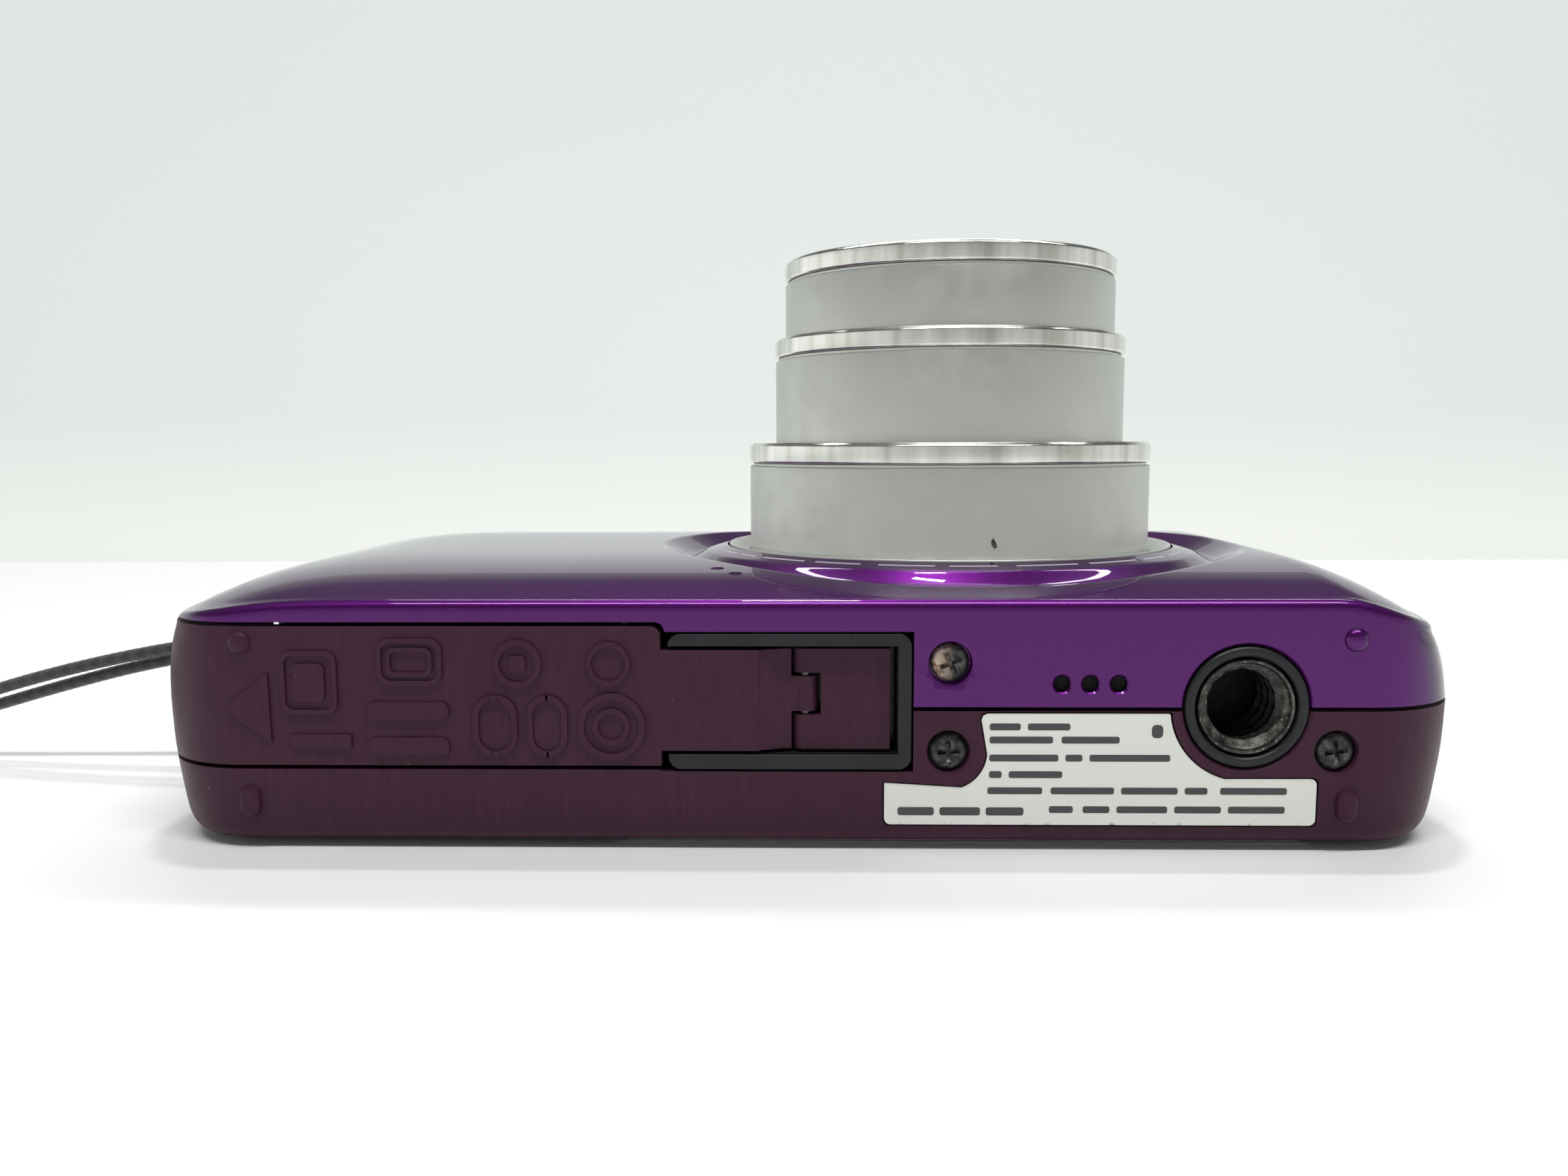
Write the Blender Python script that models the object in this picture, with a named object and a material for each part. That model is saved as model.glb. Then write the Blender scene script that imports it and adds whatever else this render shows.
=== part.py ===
"""Pocket digital camera with a three-stage zoom lens, lying on its screen with the lens out.

Frame: the origin is on the screen's outer face, at the middle of the body. +Z points out of
the lens, +X along the long side towards the lens, and +Y to the side with the shutter button.
Sizes below are in millimetres; the meshes are written in metres.
"""
import math

import bmesh
import bpy
from mathutils import Matrix, Vector

MM = 0.001
WELD = 0.0005

# Body
HALF_LENGTH = 48.4
HALF_HEIGHT = 28.5
PLAN_RADIUS = 8.0
BACK_Z = 0.4
PART_Z = 10.4
FACE_Z = 20.1
WALL = 1.2
SEAM = 0.3

# Crown of the front face
CROWN_DROP = 2.0
CROWN_POWER = 4.5
CROWN_REACH = 28.2
LEFT_FALL_START = -24.8
LEFT_FALL = 3.84
LEFT_FALL_POWER = 5.1
RIGHT_FALL_START = 38.5
RIGHT_FALL = 4.9
RIGHT_FALL_POWER = 1.5

# Lens
LENS_X = 13.17
LENS = (LENS_X, 0.0)
DISH_RADIUS = 26.0
PLATEAU_RADIUS = 22.0
PLATEAU_Z = 19.6
MOUTH_RADIUS = 20.1
MOUTH_Z = 20.07
BARREL_RADII = (17.98, 15.60, 14.69)
BARREL_WALLS = (0.95, 0.8, 0.8)
BARREL_BOTTOMS = (15.2, 24.4, 32.6)
RING_BOTTOMS = (27.22, 36.52, 43.28)
RING_TOPS = (29.23, 38.43, 45.2)
RUNNING_GAP = 0.28
APERTURE = 5.6
BLADE_RADIUS = 6.1
BLADE_PIVOT = 11.8
BLADE_GAP = 0.08
BLADE_SWING = 31.0
BLADE_Z = 43.1

# Battery and card door, hinge and rails
DOOR_LEFT = -9.75
DOOR_LOW = 6.1
DOOR_HIGH = 16.5
DOOR_WRAP_Y = -20.4
DOOR_WALL = 1.3
TAIL_LOW = 7.35
TAIL_HIGH = 14.65
TAIL_END = -2.9
RAIL_LEFT = -9.4
RAIL_RIGHT = 7.95
RAIL_LOW = 6.0
RAIL_HIGH = 15.8
HINGE_X = 0.4
HINGE_Y = -27.0
KNUCKLE_RADIUS = 0.9

# Bottom fittings: places are (x, z)
SCREWS = {
    "bottom_screw_front": (10.67, 13.7),
    "bottom_screw_rear": (10.6, 7.3),
    "bottom_screw_end": (37.97, 7.34),
}
SCREW_HEAD = 1.38
COUNTERBORE = 1.5
COUNTERBORE_DEPTH = 0.9
SPEAKER_HOLES = (18.56, 20.56, 22.56)
SPEAKER_Z = 12.2
SPEAKER_HOLE_RADIUS = 0.64
TRIPOD = (31.57, 10.55)
COLLAR_RADIUS = 4.35
THREAD_RADIUS = 3.2
LABEL_POCKET = 0.45

# Back
WINDOW = (-19.0, 43.0, -26.2, 24.0)
WINDOW_RADIUS = 7.0
PAD_CENTRE = (-33.0, -3.0)
PAD_RADIUS = 9.0
OK_RADIUS = 3.9
BACK_BUTTONS = {
    "movie_button": (-33.0, 19.0, 3.2),
    "play_button": (-41.0, 11.0, 2.6),
    "menu_button": (-25.0, 11.0, 2.6),
    "help_button": (-33.0, -18.5, 2.6),
}

# Front window, right end and top
LAMP = (25.5, 21.6)
PORT_Y = (3.0, 11.0)
PORT_Z = (5.8, 8.9)
SHUTTER = (-31.0, 10.0)
SHUTTER_RADIUS = 4.0
LEVER_RADIUS = 6.2
POWER = (-15.0, 10.0)
POWER_RADIUS = 2.4
TOP_PLATE = (-41.0, -9.5, 3.4, 16.6)

# Strap
EYELET = (-47.2, -4.0, 11.7)
STRAND_RADIUS = 0.55
JOINT_START = (-93.0, -1.5, 2.3)
JOINT_END = (-103.5, -1.5, 2.3)
CORD_RADIUS = 1.3
COIL_CENTRE = (-118.2, 16.1)
COIL_RADII = (9.0, 20.4)
COIL_HEIGHT = 2.75


# ---------------------------------------------------------------- scene helpers

def clear_scene():
    for item in list(bpy.data.objects):
        bpy.data.objects.remove(item, do_unlink=True)


def material(name, colour, roughness, metallic=0.0, transmission=0.0):
    found = bpy.data.materials.get(name)
    if found:
        return found
    made = bpy.data.materials.new(name)
    made.use_nodes = True
    shader = made.node_tree.nodes["Principled BSDF"]
    shader.inputs["Base Color"].default_value = (*colour, 1.0)
    shader.inputs["Roughness"].default_value = roughness
    shader.inputs["Metallic"].default_value = metallic
    shader.inputs["Transmission Weight"].default_value = transmission
    made.diffuse_color = (*colour, 1.0)
    return made


def purple():
    return material("gloss_purple", (0.09, 0.006, 0.14), 0.16, 0.6)


def plum():
    return material("matte_plum", (0.055, 0.022, 0.038), 0.45)


def black():
    return material("black_plastic", (0.02, 0.022, 0.024), 0.4)


def silver():
    return material("satin_aluminium", (0.52, 0.53, 0.52), 0.38, 0.9)


def polished():
    return material("polished_ring", (0.7, 0.7, 0.66), 0.15, 1.0)


def steel():
    return material("plain_steel", (0.4, 0.4, 0.39), 0.35, 1.0)


def glass():
    return material("lens_glass", (0.05, 0.05, 0.08), 0.03, 0.0, 0.6)


def board_green():
    return material("circuit_board", (0.01, 0.09, 0.03), 0.5)


def finish(name, mesh, look, parent=None):
    """A mesh already in world metres becomes a named object."""
    item = bpy.data.objects.new(name, mesh)
    bpy.context.collection.objects.link(item)
    mesh.materials.clear()
    mesh.materials.append(look)
    mesh.shade_smooth()
    mesh.set_sharp_from_angle(angle=math.radians(35))
    if parent:
        item.parent = parent
        item.matrix_parent_inverse = parent.matrix_world.inverted()
    return item


def to_mesh(shape, name):
    """Turn a bmesh in millimetres into a mesh in metres with its faces pointing out."""
    bmesh.ops.recalc_face_normals(shape, faces=shape.faces)
    shape.transform(Matrix.Scale(MM, 4))
    mesh = bpy.data.meshes.new(name)
    shape.to_mesh(mesh)
    shape.free()
    return mesh


def make(name, shape, look, parent=None):
    return finish(name, to_mesh(shape, name), look, parent)


def weld(mesh):
    """Merge the near-coincident points that a boolean leaves on a seam."""
    shape = bmesh.new()
    shape.from_mesh(mesh)
    bmesh.ops.remove_doubles(shape, verts=shape.verts, dist=WELD * MM)
    shape.to_mesh(mesh)
    shape.free()


def combine(item, shapes, operation):
    """Apply a boolean with each bmesh in turn and keep the result as the object's own mesh."""
    for shape in shapes:
        tool = bpy.data.objects.new("tool", to_mesh(shape, "tool"))
        bpy.context.collection.objects.link(tool)
        modifier = item.modifiers.new("shape", "BOOLEAN")
        modifier.operation = operation
        modifier.solver = "EXACT"
        modifier.object = tool
        bpy.context.view_layer.update()
        graph = bpy.context.evaluated_depsgraph_get()
        result = bpy.data.meshes.new_from_object(item.evaluated_get(graph))
        item.modifiers.clear()
        weld(result)
        item.data = result
        bpy.data.objects.remove(tool, do_unlink=True)
    item.data.set_sharp_from_angle(angle=math.radians(35))
    return item


def cut(item, *shapes):
    return combine(item, shapes, "DIFFERENCE")


def join(item, *shapes):
    return combine(item, shapes, "UNION")


def keep(item, *shapes):
    return combine(item, shapes, "INTERSECT")


def axis_empty(name, place):
    """An empty on a joint's axis; the moving pieces are its children."""
    item = bpy.data.objects.new(name, None)
    item.empty_display_size = 0.004
    item.location = Vector(place) * MM
    bpy.context.collection.objects.link(item)
    bpy.context.view_layer.update()
    return item


# ---------------------------------------------------------------- shape helpers

def loft(rings, cap_start=True, cap_end=True):
    """Join rings of equal length with quads; a one-point ring is a tip."""
    shape = bmesh.new()
    loops = [[shape.verts.new(point) for point in ring] for ring in rings]
    count = max(len(ring) for ring in rings)
    for low, high in zip(loops, loops[1:]):
        for i in range(count):
            j = (i + 1) % count
            if len(low) == 1:
                shape.faces.new((low[0], high[j], high[i]))
            elif len(high) == 1:
                shape.faces.new((low[i], low[j], high[0]))
            else:
                shape.faces.new((low[i], low[j], high[j], high[i]))
    if cap_start and len(loops[0]) > 1:
        shape.faces.new(list(reversed(loops[0])))
    if cap_end and len(loops[-1]) > 1:
        shape.faces.new(loops[-1])
    return shape


def prism(outline, low, high, axis="Z"):
    """Extrude a flat outline between two levels along an axis.

    The outline is (x, y) for Z, (x, z) for Y and (y, z) for X.
    """
    place = {
        "Z": lambda a, b, level: (a, b, level),
        "Y": lambda a, b, level: (a, level, b),
        "X": lambda a, b, level: (level, a, b),
    }[axis]
    return loft([[place(a, b, level) for a, b in outline] for level in (low, high)])


def box(x0, x1, y0, y1, z0, z1):
    return prism([(x0, y0), (x1, y0), (x1, y1), (x0, y1)], z0, z1)


def circle(x, y, radius, count=32):
    turn = 2 * math.pi / count
    return [(x + radius * math.cos(i * turn), y + radius * math.sin(i * turn)) for i in range(count)]


def rounded(x0, x1, y0, y1, radius, steps=4):
    """A rectangle with round corners, anticlockwise."""
    corners = (
        (x1 - radius, y0 + radius, -90),
        (x1 - radius, y1 - radius, 0),
        (x0 + radius, y1 - radius, 90),
        (x0 + radius, y0 + radius, 180),
    )
    points = []
    for x, y, start in corners:
        for i in range(steps + 1):
            angle = math.radians(start + 90 * i / steps)
            points.append((x + radius * math.cos(angle), y + radius * math.sin(angle)))
    return points


def turned(profile, centre, axis="Z", count=40):
    """Turn a closed (radius, level) profile about an axis through the centre."""
    shape = bmesh.new()
    a, b = centre
    columns = []
    for radius, level in profile:
        points = [(a, b)] if radius == 0 else circle(a, b, radius, count)
        if axis == "Z":
            column = [shape.verts.new((p, q, level)) for p, q in points]
        elif axis == "Y":
            column = [shape.verts.new((p, level, q)) for p, q in points]
        else:
            column = [shape.verts.new((level, p, q)) for p, q in points]
        columns.append(column)
    for first, second in zip(columns, columns[1:] + columns[:1]):
        if len(first) == 1 and len(second) == 1:
            continue
        for i in range(count):
            j = (i + 1) % count
            corners = [first[i % len(first)], first[j % len(first)]]
            corners += [second[j % len(second)], second[i % len(second)]]
            shape.faces.new(list(dict.fromkeys(corners)))
    return shape


def tube(inner, outer, low, high, centre, axis="Z", count=40):
    return turned([(outer, low), (outer, high), (inner, high), (inner, low)], centre, axis, count)


def rod(radius, low, high, centre, axis="Z", count=24):
    return turned([(0, low), (radius, low), (radius, high), (0, high)], centre, axis, count)


# ---------------------------------------------------------------- body surface

def fall(distance, reach, depth, power):
    return depth * max(0.0, min(1.0, distance / reach)) ** power


def crown(x, y):
    """Height of the front face before the lens dish is formed into it."""
    height = FACE_Z - fall(abs(y), CROWN_REACH, CROWN_DROP, CROWN_POWER)
    left = LEFT_FALL_START - x
    right = x - RIGHT_FALL_START
    height -= fall(left, HALF_LENGTH + LEFT_FALL_START, LEFT_FALL, LEFT_FALL_POWER)
    height -= fall(right, HALF_LENGTH - RIGHT_FALL_START, RIGHT_FALL, RIGHT_FALL_POWER)
    return height


def face_height(x, y):
    """Front face with the round, slightly conical plateau about the lens mouth."""
    reach = math.hypot(x - LENS_X, y)
    if reach >= DISH_RADIUS:
        return crown(x, y)
    slope = (MOUTH_Z - PLATEAU_Z) / (PLATEAU_RADIUS - MOUTH_RADIUS)
    plateau = min(MOUTH_Z, MOUTH_Z - (reach - MOUTH_RADIUS) * slope)
    if reach <= PLATEAU_RADIUS:
        return plateau
    share = (DISH_RADIUS - reach) / (DISH_RADIUS - PLATEAU_RADIUS)
    share = share * share * (3 - 2 * share)
    plateau = PLATEAU_Z - (reach - PLATEAU_RADIUS) * 0.1
    return crown(x, y) + (plateau - crown(x, y)) * share


def perimeter(arc_steps, long_steps, short_steps):
    """Points of the plan outline, each with its outward direction, anticlockwise."""
    x = HALF_LENGTH - PLAN_RADIUS
    y = HALF_HEIGHT - PLAN_RADIUS
    corners = ((x, -y, -90), (x, y, 0), (-x, y, 90), (-x, -y, 180))
    points = []
    for number, (cx, cy, start) in enumerate(corners):
        arc = []
        for i in range(arc_steps + 1):
            angle = math.radians(start + 90 * i / arc_steps)
            nx, ny = math.cos(angle), math.sin(angle)
            arc.append((cx + PLAN_RADIUS * nx, cy + PLAN_RADIUS * ny, nx, ny))
        points += arc
        steps = short_steps if number % 2 == 0 else long_steps
        following = corners[(number + 1) % 4]
        last = arc[-1]
        end = (following[0] + PLAN_RADIUS * last[2], following[1] + PLAN_RADIUS * last[3])
        for i in range(1, steps):
            share = i / steps
            here = [last[k] + (end[k] - last[k]) * share for k in (0, 1)]
            points.append((here[0], here[1], last[2], last[3]))
    return points


# Side profile: (z, inset at the ends, inset at the long sides)
LOWER = ((0.0, 3.2, 1.7), (0.18, 2.3, 0.95), (0.65, 1.6, 0.4), (1.6, 1.1, 0.1), (3.4, 0.7, 0.0),
         (6.4, 0.2, 0.0), (10.0, 0.0, 0.0))
# Above the part line: (share of the way to the rim, left, right, long sides)
UPPER = ((0.4, 0.1, 0.3, 0.0), (0.75, 0.45, 0.85, 0.0), (1.0, 0.95, 1.6, 0.02))
# Rim round: (extra inset, depth below the face)
RIM = ((0.0, 0.8), (0.22, 0.26), (0.8, 0.0))


def envelope(shrink=0.0, fine=True):
    """The camera's outer solid, or the same solid drawn in by a wall's thickness."""
    outline = perimeter(6, 9, 3) if fine else perimeter(4, 6, 2)
    lower = LOWER if fine else (LOWER[1], LOWER[3], LOWER[6])
    upper = UPPER if fine else UPPER[1:]
    rim = RIM if fine else RIM[1:]
    shares = (0.15, 0.35, 0.6, 0.82, 1.0) if fine else (0.4, 1.0)
    radii = (25.0, 24.0, 23.0, 22.0, MOUTH_RADIUS) if fine else (24.0, 22.0)

    def inset(point, left, right, side):
        x, y, nx, ny = point
        end = right if nx > 0 else left
        return nx * nx * end + ny * ny * side + shrink

    def moved(point, amount):
        return point[0] - point[2] * amount, point[1] - point[3] * amount

    rings = []
    base = BACK_Z + shrink
    for rise, end, side in lower:
        level = base + rise * (PART_Z - base) / (PART_Z - BACK_Z)
        rings.append([(*moved(p, inset(p, end, end, side)), level) for p in outline])
    top_insets = [inset(p, *UPPER[-1][1:]) for p in outline]
    rims = []
    for p, amount in zip(outline, top_insets):
        x, y = moved(p, amount + RIM[-1][0])
        rims.append(face_height(x, y) - shrink)
    for share, left, right, side in upper:
        ring = []
        for p, height in zip(outline, rims):
            level = PART_Z + share * (height - RIM[0][1] - PART_Z)
            ring.append((*moved(p, inset(p, left, right, side)), level))
        rings.append(ring)
    for extra, depth in rim:
        ring = []
        for p, amount, height in zip(outline, top_insets, rims):
            ring.append((*moved(p, amount + extra), height - depth))
        rings.append(ring)
    edge = rings[-1]
    circle_points = []
    for x, y, _ in edge:
        reach = math.hypot(x - LENS_X, y)
        circle_points.append(((x - LENS_X) / reach, y / reach))
    for share in shares:
        ring = []
        for (x, y, _), (cx, cy) in zip(edge, circle_points):
            px = x + (LENS_X + DISH_RADIUS * cx - x) * share
            py = y + (DISH_RADIUS * cy - y) * share
            ring.append((px, py, face_height(px, py) - shrink))
        rings.append(ring)
    for radius in radii:
        ring = []
        for cx, cy in circle_points:
            px, py = LENS_X + radius * cx, radius * cy
            ring.append((px, py, face_height(px, py) - shrink))
        rings.append(ring)
    rings.append([(LENS_X, 0.0, MOUTH_Z - shrink)])
    solid = loft(rings)
    bmesh.ops.triangulate(solid, faces=solid.faces)
    return solid


def shell():
    """The whole outer skin as one hollow solid, ready to be divided into covers."""
    return envelope(), envelope(WALL, fine=False)


# ---------------------------------------------------------------- bottom cut-outs

def counterbore(name):
    x, z = SCREWS[name]
    floor = -HALF_HEIGHT + COUNTERBORE_DEPTH
    profile = [(0, -31), (COUNTERBORE, -31), (COUNTERBORE, floor), (0.85, floor), (0.85, -22), (0, -22)]
    return turned(profile, (x, z), "Y", 24)


def boss(name):
    x, z = SCREWS[name]
    return rod(2.3, -27.5, -24.6, (x, z), "Y", 20)


def tripod_hole():
    return rod(COLLAR_RADIUS + 0.15, -31, -26, TRIPOD, "Y", 40)


def label_outline(grow=0.0):
    """The label: a long band with a block above it, hollowed round a screw and the bush."""
    x0, x1, x2, x3 = 6.02 - grow, 12.9 - grow, 26.3 + grow, 36.7 + grow
    z0, z1, z2 = 1.95 - grow, 5.05 + grow, 10.1 + grow
    screw_x, screw_z = SCREWS["bottom_screw_rear"]
    reach = 2.75 - grow
    points = [(x0, z0), (x3, z0), (x3, 5.4 + grow)]
    tripod_x, tripod_z = TRIPOD
    around = COLLAR_RADIUS + 1.0 - grow
    for degrees in range(255, 184, -14):
        angle = math.radians(degrees)
        points.append((tripod_x + around * math.cos(angle), tripod_z + around * math.sin(angle)))
    points += [(x2, z2), (x1, z2)]
    for degrees in range(0, -71, -14):
        angle = math.radians(degrees)
        points.append((screw_x + reach * math.cos(angle), screw_z + reach * math.sin(angle)))
    points.append((x0, z1))
    return points


def door_zone(grow=0.0):
    """Where the door lies: the left end of the bottom, with a narrow tail between the rails."""
    low, high, left = DOOR_LOW - grow, DOOR_HIGH + grow, DOOR_LEFT + grow
    outline = [(-60, low), (left, low), (left, TAIL_LOW), (TAIL_END, TAIL_LOW), (TAIL_END, TAIL_HIGH),
               (left, TAIL_HIGH), (left, high - 0.55), (left - 0.55, high), (-60, high)]
    return prism(outline, -40, DOOR_WRAP_Y + grow, "Y")


def rail_zone():
    low, high = RAIL_LOW - 0.15, RAIL_HIGH + 0.15
    return box(DOOR_LEFT - 0.2, RAIL_RIGHT + 0.15, -40, -24.0, low, high)


# ---------------------------------------------------------------- covers

def front_cover():
    outer, inner = shell()
    item = make("front_cover", outer, purple())
    cut(
        item,
        inner,
        box(-60, 60, -40, 40, -5, PART_Z + SEAM / 2),
        box(-60, -41.85, -40, 40, 5, DOOR_HIGH + SEAM / 2),
        door_zone(SEAM / 2),
        rail_zone(),
        rod(MOUTH_RADIUS + 0.05, 15, 25, (LENS_X, 0), "Z", 64),
    )
    join(item, boss("bottom_screw_front"))
    cut(item, counterbore("bottom_screw_front"), tripod_hole())
    for x in SPEAKER_HOLES:
        cut(item, rod(SPEAKER_HOLE_RADIUS, -31, -26, (x, SPEAKER_Z), "Y", 16))
    for x, y in ((-6.4, -20.3), (-4.9, -22.1)):
        cut(item, rod(0.42, 16, 22, (x, y), "Z", 12))
    cut(item, prism(flash_outline(0.15), 15, 22))
    cut(item, rod(1.45, 15, 22, LAMP, "Z", 20))
    cut(item, top_plate_zone(0.15))
    join(item, turned([(0, -28.2), (0.8, -28.2), (0.8, -28.7), (0.45, -28.95), (0, -29.0)],
                      (39.0, 15.35), "Y", 16))
    return item


def rear_cover():
    outer, inner = shell()
    item = make("rear_cover", outer, plum())
    window = rounded(*[w + s * 0.2 for w, s in zip(WINDOW, (-1, 1, -1, 1))], WINDOW_RADIUS + 0.2, 6)
    cut(
        item,
        inner,
        box(-41.85 - SEAM, 60, -40, 40, PART_Z - SEAM / 2, 30),
        box(-60, 60, -40, 40, DOOR_HIGH - SEAM / 2, 30),
        door_zone(SEAM / 2),
        rail_zone(),
        prism(window, -3, 4),
    )
    join(item, boss("bottom_screw_rear"), boss("bottom_screw_end"))
    cut(item, counterbore("bottom_screw_rear"), counterbore("bottom_screw_end"), tripod_hole())
    cut(item, prism(label_outline(0.12), -31, -HALF_HEIGHT + LABEL_POCKET, "Y"))
    for x, y, radius in BACK_BUTTONS.values():
        cut(item, rod(radius + 0.25, -2, 4, (x, y), "Z", 24))
    cut(item, rod(PAD_RADIUS + 0.35, -2, 4, PAD_CENTRE, "Z", 48))
    cut(item, top_plate_zone(0.15))
    x, y, z = EYELET
    cut(item, box(-52, -45, y - 3.2, y + 3.2, z - 2.4, z + 2.4))
    cut(item, box(44, 52, *PORT_Y, *PORT_Z))
    for x, low, high in ((38.8, 2.6, 4.3), (-39.8, 2.7, 4.4)):
        foot = rounded(x - 0.8, x + 0.8, low - 0.35, high + 0.35, 0.79, 4)
        join(item, prism(foot, -28.95, -28.2, "Y"))
    return item


def battery_door():
    pivot = axis_empty("door_hinge_axis", (HINGE_X, HINGE_Y, 11.0))
    item = make("battery_door", envelope(), plum(), pivot)
    cut(item, envelope(DOOR_WALL, fine=False))
    keep(item, door_zone(-SEAM / 2))
    tail = [(-3.4, -28.46), (-3.1, -28.46), (-1.3, -27.75), (0.0, -27.75), (0.0, -26.4),
            (-2.6, -27.14), (-3.4, -27.14)]
    join(
        item,
        prism(tail, TAIL_LOW + 0.02, TAIL_HIGH - 0.02),
        rod(KNUCKLE_RADIUS, 9.8, 12.95, (HINGE_X, HINGE_Y), "Z", 16),
    )
    cut(
        item,
        box(-0.6, 3, -30, -25, 5, 10.1),
        box(-0.6, 3, -30, -25, 12.65, 18),
        rod(0.5, 5, 18, (HINGE_X, HINGE_Y), "Z", 16),
    )
    join(item, turned([(0, -28.2), (0.8, -28.2), (0.8, -28.7), (0.45, -28.95), (0, -29.0)],
                      (-40.1, 15.2), "Y", 16))
    return item


def door_slider():
    item = make("door_slider", box(1.5, 6.45, -27.9, -26.6, TAIL_LOW, TAIL_HIGH), plum())
    join(
        item,
        box(1.5, 6.45, -26.7, -25.75, 6.75, 15.05),
        prism([(HINGE_X, -27.9), (2.0, -27.9), (2.0, -26.3), (HINGE_X, -26.3)], TAIL_LOW, TAIL_HIGH),
        rod(KNUCKLE_RADIUS, TAIL_LOW, TAIL_HIGH, (HINGE_X, HINGE_Y), "Z", 16),
    )
    cut(
        item,
        box(-2, 1.5, -30, -25, 9.85, 12.9),
        rod(0.5, 5, 18, (HINGE_X, HINGE_Y), "Z", 16),
    )
    return item


def door_rail_frame():
    """A black tray whose two undercut rails carry the door's hinge leaf."""
    outline = rounded(RAIL_LEFT, RAIL_RIGHT, RAIL_LOW, RAIL_HIGH, 0.9)
    item = make("door_rail_frame", prism(outline, -28.6, -24.4, "Y"), black())
    cut(
        item,
        box(-12, 6.97, -30, -25.3, 7.1, 14.9),
        box(-12, 6.97, -26.95, -25.3, 6.5, 15.3),
    )
    return item


# ---------------------------------------------------------------- bottom fittings

def screws():
    for name, (x, z) in SCREWS.items():
        profile = [(0, -28.45), (0.7, -28.42), (1.15, -28.3), (SCREW_HEAD, -28.0), (SCREW_HEAD, -27.85),
                   (0.62, -27.85), (0.62, -22.6), (0, -22.6)]
        item = make(name, turned(profile, (x, z), "Y", 18), black())
        cut(
            item,
            box(x - 0.85, x + 0.85, -29, -27.95, z - 0.17, z + 0.17),
            box(x - 0.17, x + 0.17, -29, -27.95, z - 0.85, z + 0.85),
        )


def tripod_socket():
    make("tripod_collar", tube(3.62, COLLAR_RADIUS, -28.6, -27.0, TRIPOD, "Y", 40), black())
    profile = [(3.42, -28.4), (3.42, -26.6), (4.5, -26.6), (4.5, -20.6), (0, -20.6), (0, -22.0),
               (THREAD_RADIUS, -22.0), (THREAD_RADIUS, -28.4)]
    make("tripod_bush", turned(profile, TRIPOD, "Y", 32), steel())


def rating_label():
    look = material("label_white", (0.72, 0.74, 0.68), 0.5)
    low = -HALF_HEIGHT + 0.08
    make("rating_label", prism(label_outline(), low, low + 0.12, "Y"), look)


def speaker():
    profile = [(0, -26.9), (3.6, -26.9), (3.6, -26.4), (4.6, -26.0), (4.6, -24.5), (0, -24.5)]
    make("speaker", turned(profile, (20.56, SPEAKER_Z), "Y", 28), black())


# ---------------------------------------------------------------- lens

def lens_trim_ring():
    profile = [(MOUTH_RADIUS - 0.15, 18.95), (MOUTH_RADIUS - 0.15, 20.2), (MOUTH_RADIUS - 0.4, 20.2),
               (18.4, 19.35), (18.4, 18.95)]
    make("lens_trim_ring", turned(profile, LENS, count=44), silver())


def lens_base():
    profile = [(18.5, 18.1), (20.3, 18.1), (20.3, 4.1), (4.5, 4.1), (4.5, 5.3), (18.5, 5.3)]
    item = make("lens_base", turned(profile, LENS, count=32), black())
    cut(item, box(LENS_X - 6.5, LENS_X + 6.5, -5.5, 5.5, 3, 6))


def lens_barrels():
    """Three nested tubes; each carries a polished ring whose lip closes the gap to the next."""
    parents = []
    for number, radius in enumerate(BARREL_RADII):
        stage = number + 1
        bore = radius - BARREL_WALLS[number]
        bottom, low, top = BARREL_BOTTOMS[number], RING_BOTTOMS[number], RING_TOPS[number]
        parent = axis_empty(f"lens_stage_{stage}", (LENS_X, 0, bottom))
        parents.append(parent)
        body = turned([(radius, bottom), (radius, low - 0.05), (bore, low - 0.05), (bore, bottom)], LENS)
        make(f"lens_barrel_{stage}", body, silver(), parent)
        if number < 2:
            lip = BARREL_RADII[number + 1] + RUNNING_GAP
            profile = [(radius, low + 0.25), (radius + 0.04, low + 0.3), (radius + 0.04, top - 0.25),
                       (radius - 0.3, top), (lip, top), (lip, low + 1.0), (bore, low + 0.25)]
        else:
            profile = [(radius, low + 0.25), (radius + 0.04, low + 0.3), (radius + 0.04, top - 0.25),
                       (radius - 0.3, top), (12.9, top), (12.9, low + 0.25)]
        make(f"barrel_ring_{stage}", turned(profile, LENS, count=40), polished(), parent)
    return parents


def front_bezel(parent):
    profile = [(12.7, 45.1), (12.7, 43.95), (APERTURE, 43.95), (APERTURE + 0.2, 44.25), (11.2, 45.0),
               (12.2, 45.0)]
    make("front_bezel", turned(profile, LENS, count=36), black(), parent)


def blade_outline():
    """A half moon with a pivot ear, as it lies when it covers its half of the opening."""
    points = [(-BLADE_RADIUS, BLADE_GAP)]
    for degrees in range(165, 14, -15):
        angle = math.radians(degrees)
        points.append((BLADE_RADIUS * math.cos(angle), BLADE_GAP + BLADE_RADIUS * math.sin(angle)))
    points.append((BLADE_RADIUS + 0.6, 0.9))
    for degrees in (90, 45, 0, -45, -90):
        angle = math.radians(degrees)
        points.append((BLADE_PIVOT + 0.9 * math.cos(angle), 0.9 * math.sin(angle)))
    points.append((BLADE_PIVOT - 1.6, BLADE_GAP))
    return points


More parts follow.
